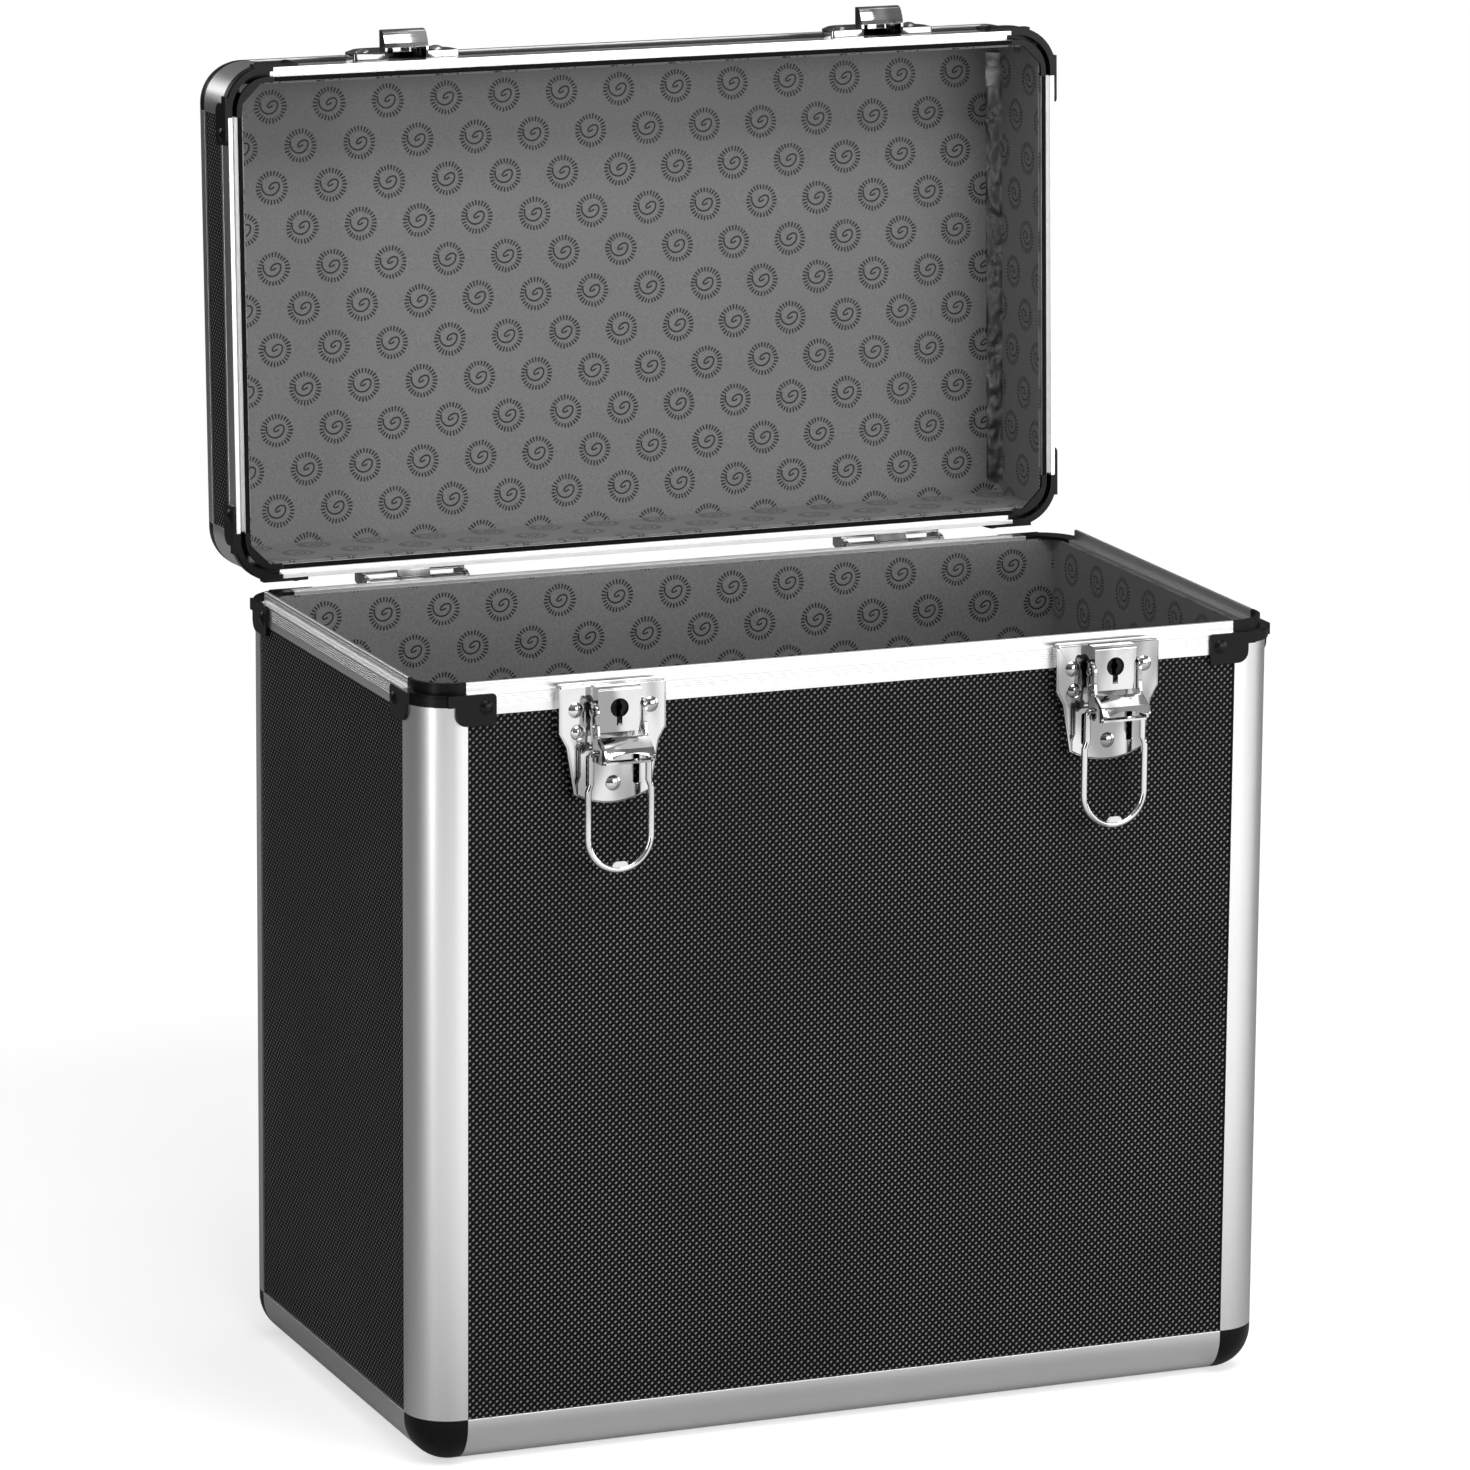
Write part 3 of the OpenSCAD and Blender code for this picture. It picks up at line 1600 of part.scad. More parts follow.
front_panel();
back_panel();
left_panel();
right_panel();
bottom_panel();
corner_rail_front_left();
corner_rail_front_right();
corner_rail_back_left();
corner_rail_back_right();
bottom_rail_front();
bottom_rail_back();
bottom_rail_left();
bottom_rail_right();
bottom_ball_corners();
body_rim_front();
body_rim_back();
body_rim_left();
body_rim_right();
body_rim_corners();
body_rim_corner_rivets();
body_lining();
latch_base_left();
latch_base_right();
lock_box_left();
lock_box_right();
latch_lever_left();
latch_lever_right();
latch_bail_left();
latch_bail_right();
lock_cam_left();
lock_cam_right();
lever_pins();
case_rivets();
body_hinge_leaves();
lid_hinge_leaves();
hinge_pins();
lid_top_panel();
lid_front_panel();
lid_back_panel();
lid_left_panel();
lid_right_panel();
lid_rail_front();
lid_rail_back();
lid_rail_left();
lid_rail_right();
lid_corner_rails();
lid_ball_corners();
lid_rim_front();
lid_rim_back();
lid_rim_left();
lid_rim_right();
lid_rim_corners();
lid_rim_corner_rivets();
lid_lining();
keeper_left();
keeper_right();
lid_rivets();
handle_grip();
handle_brackets();
handle_pins();
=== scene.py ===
import math

import bpy
from mathutils import Matrix, Vector
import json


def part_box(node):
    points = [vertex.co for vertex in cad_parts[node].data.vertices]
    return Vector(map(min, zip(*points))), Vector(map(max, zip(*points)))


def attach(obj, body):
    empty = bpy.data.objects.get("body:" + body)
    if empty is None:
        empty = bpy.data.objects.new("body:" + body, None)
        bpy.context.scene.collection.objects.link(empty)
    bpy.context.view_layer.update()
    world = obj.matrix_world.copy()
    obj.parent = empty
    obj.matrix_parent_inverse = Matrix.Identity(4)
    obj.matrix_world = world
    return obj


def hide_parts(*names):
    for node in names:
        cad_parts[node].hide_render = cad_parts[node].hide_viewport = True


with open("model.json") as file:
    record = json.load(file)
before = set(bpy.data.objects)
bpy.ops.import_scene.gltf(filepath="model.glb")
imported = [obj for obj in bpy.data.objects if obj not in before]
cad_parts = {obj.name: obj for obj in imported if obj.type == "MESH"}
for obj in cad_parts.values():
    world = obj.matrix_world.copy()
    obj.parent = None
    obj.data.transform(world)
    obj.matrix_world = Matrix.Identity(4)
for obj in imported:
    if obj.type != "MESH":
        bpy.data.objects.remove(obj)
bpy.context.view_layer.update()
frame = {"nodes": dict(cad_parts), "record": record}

MM = 0.001
# half the case's width and depth over the rails
HALF_W, HALF_D = 180 * MM, 103 * MM
# the heights of the closed lid's seam and of its top
SEAM, CLOSED_H = 306.3 * MM, 355.6 * MM
# from a rail's outside to the lining, and the lining's thickness
WALL, LINING = 5.9 * MM, 0.9 * MM
# the radius of the ball corners
BALL = 17 * MM
SLOTS = {part["node"]: part["material_slot"] for part in frame["record"]["subparts"]}
BODIES = {node: body for body, nodes in frame["record"]["behaviour"]["bodies"].items()
          for node in nodes}

# the lid is drawn open: SWING opens what is made for the closed case
lid_joint = next(j for j in frame["record"]["behaviour"]["joints"] if j["name"] == "lid_hinge")
AXIS = Matrix.Translation(Vector(lid_joint["pos_m"]))
SWING = AXIS @ Matrix.Rotation(-math.radians(lid_joint["range_deg"][1]), 4, "X") @ AXIS.inverted()


# ---------- shader maths ----------

class Term:
    """An output socket of a node tree that can be added, multiplied and compared."""

    def __init__(self, shade, socket):
        self.shade = shade
        self.socket = socket

    def maths(self, operation, *others):
        return self.shade.node("ShaderNodeMath", {"operation": operation},
                               {0: self, **{k + 1: v for k, v in enumerate(others)}})

    def __add__(self, other):
        return self.maths("ADD", other)

    def __mul__(self, other):
        return self.maths("MULTIPLY", other)

    def __sub__(self, other):
        return self.maths("SUBTRACT", other)

    def __truediv__(self, other):
        return self.maths("DIVIDE", other)

    def __rsub__(self, other):
        return (self * -1) + other

    __radd__ = __add__
    __rmul__ = __mul__

    def ramp(self, low, high, to_low=0.0, to_high=1.0):
        """Runs smoothly from to_low at low to to_high at high."""
        return self.shade.node("ShaderNodeMapRange", {"interpolation_type": "SMOOTHSTEP"},
                               {0: self, 1: low, 2: high, 3: to_low, 4: to_high})


class Shade:
    """A Principled material, or the air round the case, that is built up in code."""

    def __init__(self, name, air=False, **uniform):
        self.material = (bpy.data.worlds if air else bpy.data.materials).new(name)
        self.material.use_nodes = True
        self.tree = self.material.node_tree
        kind = "BACKGROUND" if air else "BSDF_PRINCIPLED"
        self.shader = next(n for n in self.tree.nodes if n.type == kind)
        for socket, value in uniform.items():
            self.shader.inputs[socket.replace("_", " ")].default_value = value

    def node(self, kind, settings, values, output=0):
        made = self.tree.nodes.new(kind)
        for key, value in settings.items():
            setattr(made, key, value)
        for key, value in values.items():
            self.put(made.inputs[key], value)
        return Term(self, made.outputs[output])

    def put(self, socket, value):
        if isinstance(value, Term):
            self.tree.links.new(value.socket, socket)
        else:
            socket.default_value = value

    def places(self, scale=(1, 1, 1)):
        """Object coordinates, stretched along each axis."""
        where = self.node("ShaderNodeTexCoord", {}, {}, "Object")
        return self.node("ShaderNodeMapping", {}, {"Vector": where, "Scale": scale})

    def split(self, where):
        """The three numbers of a place or direction."""
        parts = self.node("ShaderNodeSeparateXYZ", {}, {"Vector": where}).socket.node.outputs
        return [Term(self, part) for part in parts]

    def flat(self):
        """The two numbers of the piece's own flat map, in metres."""
        return self.split(self.node("ShaderNodeUVMap", {"uv_map": "Flat"}, {}))[:2]

    def is_ray(self, kind):
        """1 for rays of a kind, such as Camera, and 0 for all others."""
        return self.node("ShaderNodeLightPath", {}, {}, "Is " + kind + " Ray")

    def noise(self, scale, detail=2, stretch=(1, 1, 1), roughness=0.5):
        return self.node("ShaderNodeTexNoise", {},
                         {"Vector": self.places(stretch), "Scale": scale, "Detail": detail,
                          "Roughness": roughness})

    def blend(self, share, first, second):
        """A colour that goes from first to second."""
        return self.node("ShaderNodeMix", {"data_type": "RGBA"},
                         {0: share, 6: first, 7: second}, 2)

    def bump(self, height, distance, strength):
        self.put(self.shader.inputs["Normal"],
                 self.node("ShaderNodeBump", {},
                           {"Height": height, "Distance": distance, "Strength": strength},
                           "Normal"))

    def paint(self, **sockets):
        for socket, value in sockets.items():
            self.put(self.shader.inputs[socket.replace("_", " ")], value)
        return self


def grey(value, tint=(1, 1, 1)):
    return (value * tint[0], value * tint[1], value * tint[2], 1)


# ---------- materials ----------

def make_laminate():
    """Black sheet with a diamond lattice of small raised pips, whose tops are painted lighter as a
    painted highlight.
    """
    shade = Shade("laminate", Specular_IOR_Level=0.09)
    u, v = shade.flat()
    # two waves cross on the slant, and each repeats every 2.8 mm along the sheet's sides
    waves = 2 * math.pi / (2.8 * MM)
    pips = ((u + v) * waves).maths("COSINE") * 0.34 + ((u - v) * waves).maths("COSINE") * 0.66
    raised = pips.ramp(0.35, 0.85)
    cloud = shade.noise(14, 3)
    # the raised pips are painted lighter than the black sheet: a painted highlight on their tops,
    # made uneven by the cloud
    painted_pip_highlight = raised * cloud.ramp(0.3, 0.75, 0.75, 1.0)
    shade.bump(raised, 0.12 * MM, 0.6)
    return shade.paint(Base_Color=shade.blend(painted_pip_highlight, grey(0.0035), grey(0.34)),
                       Roughness=raised * -0.12 + cloud * 0.1 + 0.52)


def make_aluminium(along):
    """Satin anodised extrusion, with fine lines along its length."""
    shade = Shade("aluminium_" + along, Metallic=1.0)
    stretch = tuple(0.006 if axis == along else 1 for axis in "xyz")
    lines = shade.noise(5200, 2, stretch)
    fog = shade.noise(9, 3)
    return shade.paint(
        Base_Color=shade.blend(lines * 0.2 + fog * 0.8, grey(0.87), grey(0.95, (1, 1, 1.01))),
        Roughness=lines * 0.05 + fog * 0.05 + 0.26)


def make_plastic(name, colour, roughness, grain):
    """Moulded black plastic with a fine spark-eroded grain."""
    shade = Shade(name, Specular_IOR_Level=0.2)
    fine = shade.noise(grain, 3, roughness=0.65)
    fog = shade.noise(22, 2)
    shade.bump(fine, 0.05 * MM, 0.35)
    return shade.paint(Base_Color=shade.blend(fine * 0.7 + fog * 0.3, grey(colour * 0.6),
                                              grey(colour * 1.6)),
                       Roughness=fine * 0.14 + fog * 0.1 + roughness)


def make_plated(name, colour, roughness, wave, distance):
    """Plated steel with soft upright bands of painted reflection; wave is the size of the ripple
    that pressing leaves.
    """
    shade = Shade(name, Metallic=1.0)
    ripple = shade.noise(wave, 2)
    smear = shade.noise(60, 4, roughness=0.6)
    # soft upright bands of painted reflection, darker and lighter, standing in for what stands
    # round the piece; a little random smear is mixed in
    painted_reflection_bands = shade.noise(60, 1, (1, 1, 0.3)).ramp(0.4, 0.56)
    shade.bump(ripple, distance, 0.3)
    return shade.paint(Base_Color=shade.blend(painted_reflection_bands * 0.85 + smear * 0.15, grey(colour * 0.4),
                                              grey(colour * 1.08, (1, 1, 1.01))),
                       Roughness=smear.ramp(0.35, 0.75, roughness, roughness + 0.08))


# the lining's motifs: the pitch of their columns and rows, where the lattice starts in shares of
# that, and the arcs of a curl by their middle, radius, halfway direction and half turn
COLUMN, ROW = 25.15 * MM, 33 * MM
LATTICE = (0.378, 0.583)
CURL = ((-0.67, 0.92, 4.07, 260, 98), (1.9, 0.85, 1.5, 46, 58), (1.8, -1.1, 3.42, 122, 31),
        (-0.75, 0.15, 0.55, 215, 75), (-0.9, 2.3, 2.69, -62, 21))
CURL_SCALE = 1.08


def make_lining():
    """Grey sheet embossed with staggered spirals in rings of short dashes."""
    shade = Shade("lining", Specular_IOR_Level=0.4, Sheen_Weight=0.15)
    u, v = shade.flat()
    middles = []
    for shift in (0.0, 0.5):
        # how far the nearest motif's middle lies, across and up
        across = ((u / COLUMN + (shift + LATTICE[0])).maths("FRACT") - 0.5) * COLUMN
        up = ((v / ROW + (shift + LATTICE[1])).maths("FRACT") - 0.5) * ROW
        middles.append((across, up, (across * across + up * up).maths("SQRT")))
    near = middles[0][2].maths("LESS_THAN", middles[1][2])
    across, up, radius = ((a - b) * near + b for a, b in zip(*middles))

    # a ring of short rays, a little uneven
    angle = up.maths("ARCTAN2", across)
    uneven = radius + shade.noise(420, 1) * (1.1 * MM)
    rays = (angle * 27).maths("COSINE").ramp(-0.25, 0.3)
    motif = rays * uneven.ramp(5.3 * MM, 5.6 * MM) * uneven.ramp(7.2 * MM, 7.6 * MM, 1, 0)
    for x, y, r, halfway, half in CURL:
        a, b = across * CURL_SCALE - x * MM, up * CURL_SCALE - y * MM
        reach = (a * a + b * b).maths("SQRT")
        turn = math.radians(halfway)
        inside = a * math.cos(turn) + b * math.sin(turn) - reach * math.cos(math.radians(half))
        line = (reach - r * MM).maths("ABSOLUTE").ramp(0.24 * MM, 0.46 * MM, 1, 0)
        motif = motif.maths("MAXIMUM", line * inside.ramp(-0.01 * MM, 0.02 * MM))

    weave = shade.noise(1400, 2)
    fog = shade.noise(11, 3)
    shade.bump(weave * 0.12 + fog * 2.0 - motif, 0.3 * MM, 0.7)
    ground = shade.blend(weave * 0.7 + fog * 0.3, grey(0.1), grey(0.33))
    return shade.paint(Base_Color=shade.blend(motif * 0.94, ground, grey(0.006)),
                       Roughness=weave * 0.12 + fog * 0.1 + 0.42)


ALUMINIUM = {axis: make_aluminium(axis) for axis in "xyz"}
FINISHES = {
    "laminate": make_laminate(),
    "corner_plastic": make_plastic("corner_plastic", 0.005, 0.2, 1300),
    "black_rivet": make_plastic("black_rivet", 0.006, 0.16, 900),
    "handle_plastic": make_plastic("handle_plastic", 0.007, 0.36, 1000),
    "chrome": make_plated("chrome", 0.78, 0.05, 60, 0.03 * MM),
    "hinge_steel": make_plated("hinge_steel", 0.6, 0.16, 90, 0.03 * MM),
    # the lock's plug is painted near black: painted shade for the dark inside of the keyhole that
    # it sits in
    "lock_steel": make_plated("lock_steel", 0.025, 0.4, 240, 0.02 * MM),
    "lining": make_lining(),
}
# a near-black matt finish for the strips of painted shadow along the inner edge of the lid's rim
PAINTED_SHADOW = make_plastic("painted_shadow_strip", 0.006, 0.85, 2600)
CREASE = make_plated("lining_crease", 0.26, 0.45, 900, 0.2 * MM)


def finish_of(node):
    """The finish of a node's slot; a rail's fine lines run along it."""
    if SLOTS[node] != "rail_aluminium":
        return FINISHES[SLOTS[node]]
    if "corner" in node:
        return ALUMINIUM["y" if node.startswith("lid") else "z"]
    low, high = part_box(node)
    size = high - low
    return ALUMINIUM["xyz"[max(range(3), key=lambda k: size[k])]]


# ---------- pieces ----------

def only(obj):
    """Makes obj the one selected and active object."""
    bpy.ops.object.select_all(action="DESELECT")
    obj.select_set(True)
    bpy.context.view_layer.objects.active = obj


def lay_flat(obj):
    """Gives obj a map in metres, seen square on from each face's own side."""
    mesh = obj.data
    layer = mesh.uv_layers.get("Flat") or mesh.uv_layers.new(name="Flat")
    for face in mesh.polygons:
        side = max(range(3), key=lambda k: abs(face.normal[k]))
        a, b = [(1, 2), (0, 2), (0, 1)][side]
        for loop in face.loop_indices:
            place = mesh.vertices[mesh.loops[loop].vertex_index].co
            layer.data[loop].uv = (place[a], place[b])


def modify(obj, kind, **settings):
    """Gives obj a modifier and applies it."""
    modifier = obj.modifiers.new(kind.lower(), kind)
    for key, value in settings.items():
        setattr(modifier, key, value)
    only(obj)
    bpy.ops.object.modifier_apply(modifier=modifier.name)


def pick(obj, kind, wanted):
    """Selects an object's wanted points, edges or faces, and leaves it in edit mode.

    What is wanted is told by a point's place, an edge's key, or a face's middle and normal.
    """
    mesh = obj.data
    only(obj)
    bpy.ops.object.mode_set(mode="EDIT")
    bpy.ops.mesh.select_mode(type=kind)
    bpy.ops.mesh.select_all(action="DESELECT")
    bpy.ops.object.mode_set(mode="OBJECT")
    if kind == "FACE":
        for face in mesh.polygons:
            face.select = wanted(face.center, face.normal)
    elif kind == "EDGE":
        for edge in mesh.edges:
            edge.select = wanted(edge.key)
    else:
        for point in mesh.vertices:
            point.select = wanted(point.co)
    bpy.ops.object.mode_set(mode="EDIT")


def shift(obj, by, wanted):
    """Moves an object's wanted points."""
    pick(obj, "VERT", wanted)
    bpy.ops.transform.translate(value=by)
    bpy.ops.object.mode_set(mode="OBJECT")


def score(obj, places, way, **settings):
    """Cuts new edges round an object, in planes through the places and square to the way."""
    only(obj)
    bpy.ops.object.mode_set(mode="EDIT")
    for place in places:
        bpy.ops.mesh.select_all(action="SELECT")
        bpy.ops.mesh.bisect(plane_co=place, plane_no=way, **settings)
    bpy.ops.object.mode_set(mode="OBJECT")


def start(kind, name, **settings):
    """A primitive to work on, with nothing else selected."""
    bpy.ops.object.select_all(action="DESELECT")
    getattr(bpy.ops.mesh, "primitive_" + kind + "_add")(**settings)
    bpy.context.active_object.name = name
    return bpy.context.active_object


def settle(piece, place=None):
    """Puts an object's place into its mesh."""
    only(piece)
    if place is not None:
        piece.matrix_world = place @ piece.matrix_world
    bpy.ops.object.transform_apply(location=True, rotation=True, scale=True)


def copy_of(obj, name):
    """A copy of an object, with its own mesh."""
    piece = bpy.data.objects.new(name, obj.data.copy())
    bpy.context.scene.collection.objects.link(piece)
    return piece


def take(node):
    """A copy of a CAD node, merged into whole faces."""
    piece = copy_of(frame["nodes"][node], node + "_finished")
    piece.data.materials.clear()
    while piece.data.uv_layers:
        piece.data.uv_layers.remove(piece.data.uv_layers[0])
    only(piece)
    bpy.ops.object.mode_set(mode="EDIT")
    bpy.ops.mesh.select_all(action="SELECT")
    bpy.ops.mesh.remove_doubles(threshold=0.004 * MM)
    bpy.ops.mesh.dissolve_limited(angle_limit=math.radians(0.8))
    bpy.ops.object.mode_set(mode="OBJECT")
    return piece


def finish(piece, body, slot, finish, soft=0.25, segments=2, sharp=32, flat=True):
    """Rounds a piece's edges by soft mm, gives it its finish and hangs it on its body."""
    if soft:
        modify(piece, "BEVEL", width=soft * MM, segments=segments, limit_method="ANGLE",
               angle_limit=math.radians(sharp))
    only(piece)
    bpy.ops.object.shade_smooth_by_angle(angle=math.radians(sharp))
    if flat:
        modify(piece, "WEIGHTED_NORMAL", keep_sharp=True, weight=90)
    lay_flat(piece)
    piece.data.materials.append(finish.material)
    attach(piece, body)


def crank(piece, node):
    """Sets the tops of a bail's legs in towards the lever that they hang on."""
    low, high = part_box(node)
    wire = 1.3 * MM
    axis, middle = high[2] - wire, (low[0] + high[0]) / 2
    # in mm below the axis: three cuts, and between them two places above which a leg steps in
    score(piece, [(0, 0, axis - drop * MM) for drop in (11.8, 13.3, 14.8)], (0, 0, 1))
    for side in (-1, 1):
        for drop in (12.5, 14):
            shift(piece, (-side * 0.55 * MM, 0, 0),
                  lambda co: co.z > axis - drop * MM and (co.x - middle) * side > 0)


def press(piece, node):
    """Rounds the rim of a latch's base plate over, and raises its face inside a border."""
    mesh = piece.data
    face = max(mesh.polygons, key=lambda f: f.area if f.normal.y < -0.99 else 0)
    front = face.center.y
    rim = set()
    for side in mesh.polygons:
        places = [mesh.vertices[k].co for k in side.vertices]
        depth = max(p.y for p in places) - min(p.y for p in places)
        if abs(side.normal.y) < 0.1 and depth > 2 * MM:
            rim.update(key for key in side.edge_keys
                       if all(abs(mesh.vertices[k].co.y - front) < 0.05 * MM for k in key))
    pick(piece, "EDGE", lambda key: key in rim)
    bpy.ops.mesh.bevel(offset=0.55 * MM, segments=4, affect="EDGES")
    bpy.ops.object.mode_set(mode="OBJECT")
    # only the left shoulder's dimple shows: the right one is pressed back level
    low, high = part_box(node)
    pick(piece, "VERT", lambda co: co.y < front - 0.02 * MM and co.x > (low[0] + high[0]) / 2)
    bpy.ops.transform.resize(value=(1, 0, 1), center_override=(0, front, 0))
    bpy.ops.object.mode_set(mode="OBJECT")
    pick(piece, "FACE", lambda middle, way: way.y < -0.99 and abs(middle.y - front) < 0.05 * MM)
    bpy.ops.mesh.inset(thickness=0.35 * MM, depth=0, use_even_offset=False)
    bpy.ops.transform.translate(value=(0, -0.35 * MM, 0))
    bpy.ops.object.mode_set(mode="OBJECT")


def ball_corners(upper):
    """The middle of each ball corner of the lid or the body, and the way that it points."""
    for x, y in ((-1, -1), (1, -1), (-1, 1), (1, 1)):
        middle = Vector((x * (HALF_W - BALL), y * (HALF_D - BALL),
                         CLOSED_H - BALL if upper else BALL))
        way = Vector((x, y, 1 if upper else -1)).normalized()
        yield (SWING @ middle, SWING.to_3x3() @ way) if upper else (middle, way)


def draw_in(piece, upper):
    """Pulls a lining's sharp deep corners in, behind the ball corners."""
    for middle, way in ball_corners(upper):
        score(piece, [middle + way * 15 * MM], way)
        # points further out than the first number go in by the second, in mm: the corner's
        # inner and outer point, and then the outer one alone
        for beyond, pull in ((17.2, 2.2), (16.5, 0.6)):
            shift(piece, way * -pull * MM, lambda co: (co - middle).dot(way) > beyond * MM)


def roll_hook(piece):
    """Rolls two shallow waves into the sloping front of a keeper's hook."""
    # the front's lean, as the y of its normal, and how far each crest lies from its middle
    slope, wave = -0.86, 0.9 * MM
    front = max(piece.data.polygons,
                key=lambda f: f.area if abs(f.normal.y - slope) < 0.05 else 0)
    middle, way = front.center.copy(), front.normal.copy()
    up = way.cross(Vector((-1, 0, 0)))
    score(piece, [middle + up * step * wave for step in (-2, -1, 0, 1, 2)], up)
    shift(piece, way * 0.2 * MM,
          lambda co: (co - middle).dot(way) > -0.1 * MM
          and abs(abs((co - middle).dot(up)) - wave) < 0.05 * MM)


# pieces with other edges than most: how wide they are rounded, in mm, and in how many steps
EDGES = {"lock_box": (0.5, 3), "latch_lever": (0.4, 3), "keeper": (0.8, 4),
         "handle_brackets": (0.4, 3), "lid_hinge": (0.3, 3), "body_hinge": (0.3, 3)}

for node in sorted(frame["nodes"]):
    piece = take(node)
    if node.startswith("latch_bail"):
        crank(piece, node)
    if node.startswith("latch_base"):
        press(piece, node)
    if node.startswith("keeper"):
        roll_hook(piece)
    if node in ("body_lining", "lid_lining"):
        draw_in(piece, node == "lid_lining")
    soft, segments = next((v for k, v in EDGES.items() if node.startswith(k)), (0.25, 2))
    finish(piece, BODIES[node], SLOTS[node], finish_of(node), soft, segments,
           flat=not node.startswith(("keeper", "latch_lever")))
    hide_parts(node)


# ---------- painted shadow strips, fold and caps ---

def strip_of_painted_shadow(name, low, high):
    """A thin dark strip of painted shadow on the inner half of a lid rim's edge, with a narrower
    free face.
    """
    piece = start("cube", name, size=1, location=[(a + b) / 2 for a, b in zip(low, high)],
                  scale=[b - a for a, b in zip(low, high)])
    settle(piece)
    pick(piece, "FACE", lambda middle, way: way.z < -0.9)
    bpy.ops.mesh.inset(thickness=0.25 * MM, depth=0)
    bpy.ops.transform.translate(value=(0, 0, -0.06 * MM))
    bpy.ops.object.mode_set(mode="OBJECT")
    settle(piece, SWING)
    finish(piece, "lid", "lining", PAINTED_SHADOW, 0.05)


def painted_shadow_round_lid():
    """Lays a strip of painted shadow along each side of the lid's rim."""
    # a strip's two edges in from the rails' outside, its bottom and top, and half its lengths
    inner, outer = 5.8 * MM, 3.85 * MM
    bottom, top = SEAM - 0.06 * MM, SEAM + 0.2 * MM
    across, deep = HALF_W - 19.4 * MM, HALF_D - 19.4 * MM
    for side, face, end in ((-1, "front", "left"), (1, "back", "right")):
        a, b = sorted((side * (HALF_D - inner), side * (HALF_D - outer)))
        strip_of_painted_shadow("lid_painted_shadow_" + face, (-across, a, bottom), (across, b, top))
        a, b = sorted((side * (HALF_W - inner), side * (HALF_W - outer)))
        strip_of_painted_shadow("lid_painted_shadow_" + end, (a, -deep, bottom), (b, deep, top))


def cap_ball_corners(node, upper):
    """Closes the round end of each ball corner over the lining's corner."""
    proud, thickness = 0.03 * MM, 0.5 * MM
    model = start("uv_sphere", "ball_cap", segments=64, ring_count=64, radius=BALL + proud)
    score(model, [(0, 0, BALL - thickness)], (0, 0, 1), use_fill=True, clear_inner=True)
    for k, (middle, way) in enumerate(ball_corners(upper), 1):
        piece = copy_of(model, node + "_cap_" + str(k))
        piece.rotation_euler = way.to_track_quat("Z", "Y").to_euler()
        piece.location = middle
        settle(piece)
        finish(piece, BODIES[node], SLOTS[node], finish_of(node), 0, flat=False)
    bpy.data.objects.remove(model)


def fold_in_lining():
    """The crumpled fold of the lining down the lid's right inner corner."""
    corner = HALF_W - WALL - LINING
    # a narrow sheet that leans across the corner, along the whole of it
    piece = start("grid", "lid_lining_fold", x_subdivisions=8, y_subdivisions=150, size=1,
                  location=(corner - 2.6 * MM, 0, CLOSED_H - 9 * MM),
                  rotation=(math.pi, math.radians(38), 0))
    piece.scale = (7 * MM, 2 * HALF_D - 26 * MM, 1)
    settle(piece)
    crumple = bpy.data.textures.new("crumple", "CLOUDS")
    crumple.noise_scale = 4.5 * MM
    crumple.noise_depth = 2
    pick(piece, "VERT", lambda co: corner - 5.2 * MM < co.x < corner - 0.2 * MM)
    bpy.ops.object.mode_set(mode="OBJECT")
    inside = piece.vertex_groups.new(name="inside")
    inside.add([v.index for v in piece.data.vertices if v.select], 1.0, "REPLACE")
    modify(piece, "DISPLACE", texture=crumple, texture_coords="LOCAL", strength=2.4 * MM,
           mid_level=0.4, vertex_group="inside")
    modify(piece, "SOLIDIFY", thickness=0.3 * MM, offset=0)
    settle(piece, SWING)
    finish(piece, "lid", "lining", CREASE, 0, sharp=60)


painted_shadow_round_lid()
cap_ball_corners("bottom_ball_corners", False)
cap_ball_corners("lid_ball_corners", True)
fold_in_lining()


# ---------- camera, floor and light ----------

# the photograph's width and height, in pixels
FRAME = 1470


def make_camera():
    """A long lens from the photograph's angle, on a frame FRAME pixels wide and high."""
    yaw, pitch, roll = math.radians(22.7), math.radians(12.6), 0.009
    ahead = Vector((math.sin(yaw) * math.cos(pitch), math.cos(yaw) * math.cos(pitch),
                    -math.sin(pitch)))
    right = Vector((math.cos(yaw), -math.sin(yaw), 0))
    up = right.cross(ahead)
    right, up = (right * math.cos(roll) + up * math.sin(roll),
                 up * math.cos(roll) - right * math.sin(roll))
    lens = bpy.data.cameras.new("camera")
    lens.sensor_width = 36
    # the lens's length and shift were fitted in pixels
    lens.lens = lens.sensor_width * 7874 / FRAME
    lens.shift_x = -51.5 / FRAME
    lens.shift_y = -57.4 / FRAME
    lens.clip_start, lens.clip_end = 0.1, 50
    camera = bpy.data.objects.new("camera", lens)
    camera.matrix_world = Matrix((
        (right.x, up.x, -ahead.x, -1168.9 * MM),
        (right.y, up.y, -ahead.y, -2824.7 * MM),
        (right.z, up.z, -ahead.z, 962.0 * MM),
        (0, 0, 0, 1)))
    bpy.context.scene.collection.objects.link(camera)
    bpy.context.scene.camera = camera


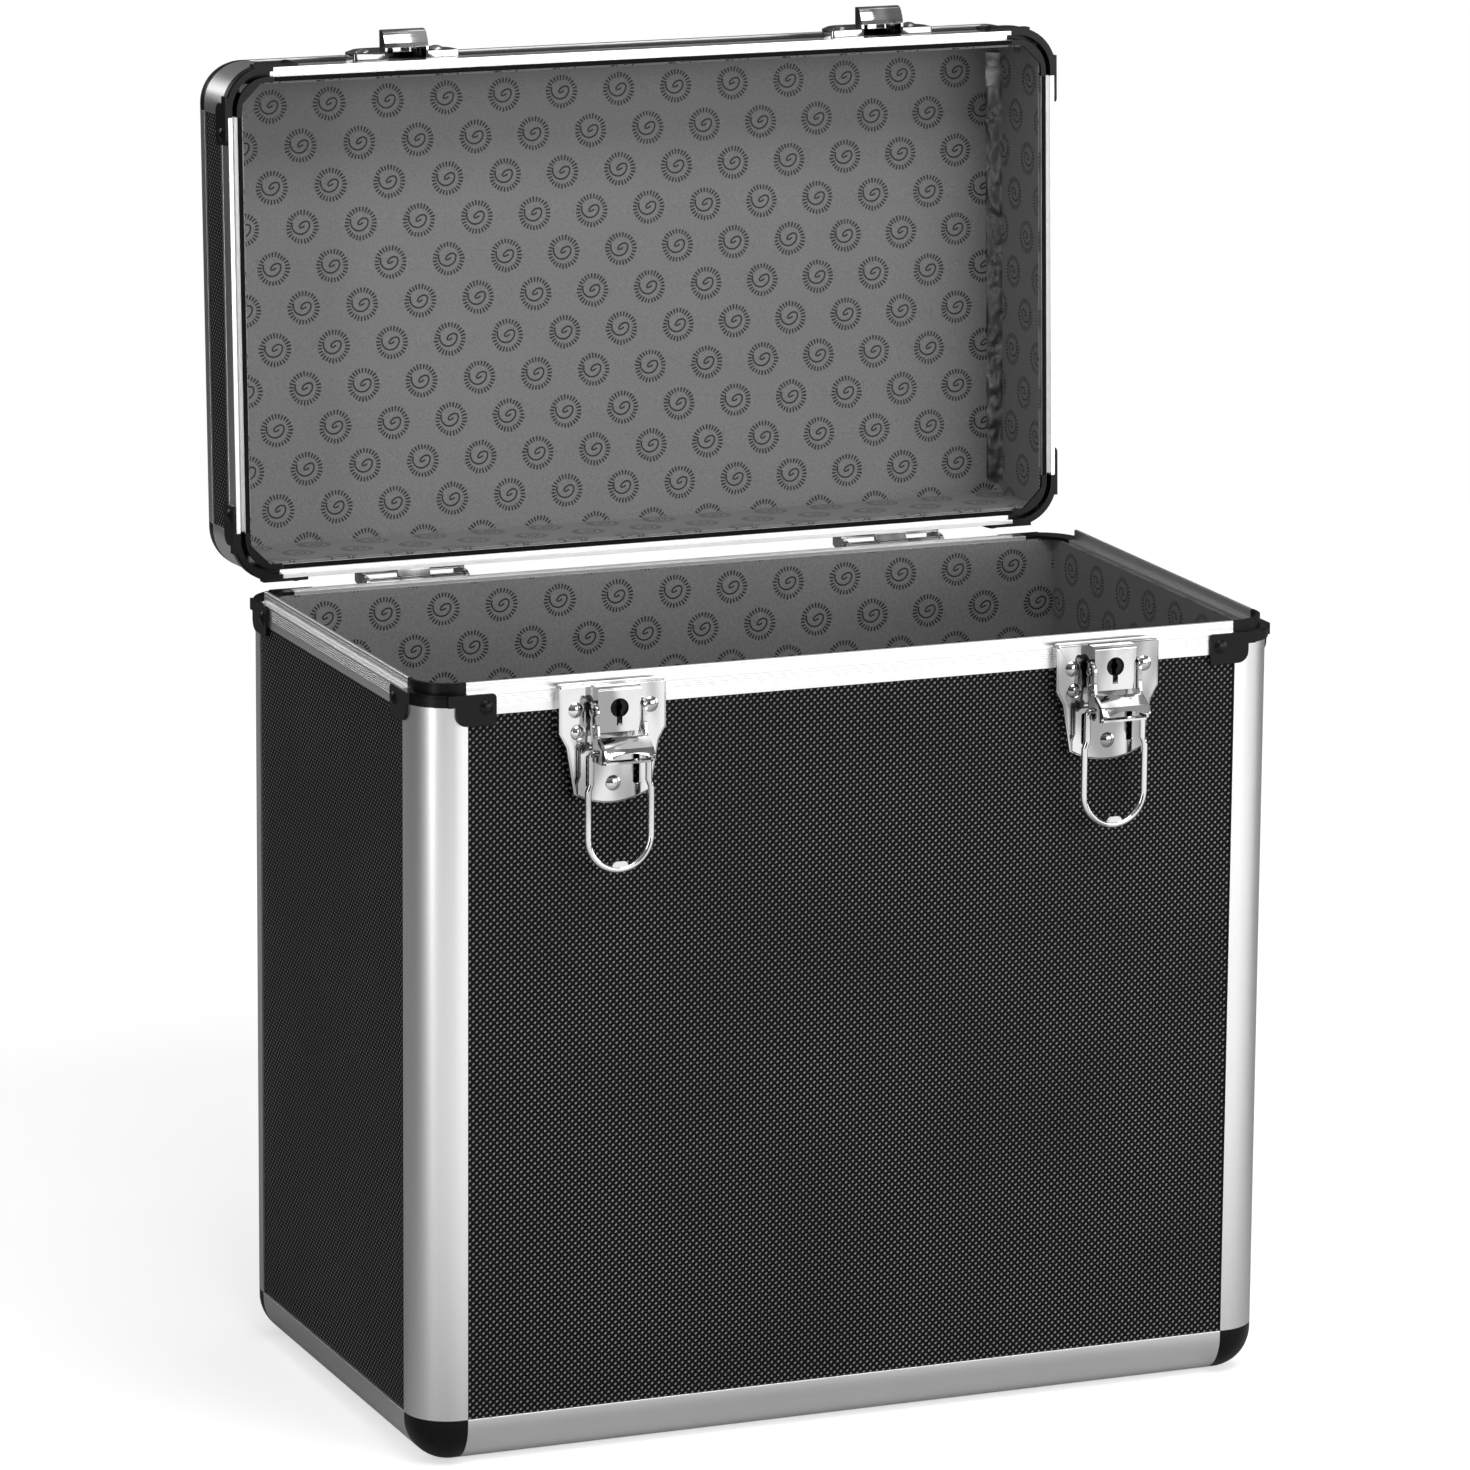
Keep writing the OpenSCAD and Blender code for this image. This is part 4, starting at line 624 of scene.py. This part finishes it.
def make_lamp(name, place, size, power):
    """A soft box that faces the middle of the case."""
    data = bpy.data.lights.new(name, "AREA")
    data.shape = "RECTANGLE"
    data.size, data.size_y = size
    data.energy = power
    lamp = bpy.data.objects.new(name, data)
    lamp.location = place
    lamp.rotation_euler = (Vector((0, 0, 0.25)) - Vector(place)).to_track_quat("-Z", "Y").to_euler()
    bpy.context.scene.collection.objects.link(lamp)


def make_floor():
    """A round sheet of paper: white to look at, and in reflections darker behind the case."""
    floor = start("circle", "floor", vertices=96, radius=1.7, fill_type="NGON",
                  location=(0, 0, -0.5 * MM))
    shade = Shade("floor_paper", Roughness=0.9, Specular_IOR_Level=0.0)
    behind = shade.split(shade.node("ShaderNodeTexCoord", {}, {}, "Object"))[1].ramp(-0.7, 0.1)
    seen, thrown = shade.is_ray("Camera"), shade.is_ray("Diffuse")
    # its colour and its glow: in reflections and in the light it throws, and then to look at
    paper = shade.blend(thrown, shade.blend(behind, grey(0.82), grey(0.34)), grey(0.3))
    glow = shade.blend(thrown, shade.blend(behind, grey(0.3), grey(0)), grey(0))
    shade.paint(Base_Color=shade.blend(seen, paper, grey(0.9)),
                Emission_Color=shade.blend(seen, glow, grey(0.55)), Emission_Strength=1.0)
    floor.data.materials.append(shade.material)


def make_studio_air():
    """White to look at, and for the reflections darker low down and behind the case."""
    shade = Shade("studio", air=True)
    back, rise = shade.split(shade.node("ShaderNodeTexCoord", {}, {}, "Generated"))[1:]
    light = rise.ramp(-0.2, 0.9, 0.06, 0.36) * back.ramp(-0.3, 0.5, 1, 0.7)
    shade.paint(Color=grey(1), Strength=light.maths("MAXIMUM", shade.is_ray("Camera")))
    bpy.context.scene.world = shade.material
    bpy.context.scene.view_settings.view_transform = "Standard"


make_camera()
make_floor()
make_studio_air()
make_lamp("right_box", (1.6, -2.6, 0.75), (2.6, 1.4), 40)
make_lamp("far_right_box", (2.7, -0.6, 0.7), (1.4, 1.3), 17)
make_lamp("left_strip", (-2.2, -1.35, 0.5), (0.4, 1.5), 10)
make_lamp("top_box", (0.1, -1.75, 2.6), (1.8, 0.9), 24)
make_lamp("lever_card", (1.0, 0.6, 2.6), (1.0, 1.0), 3.4)
make_lamp("back_box", (-1.7, 2.4, 1.3), (1.4, 0.9), 12)
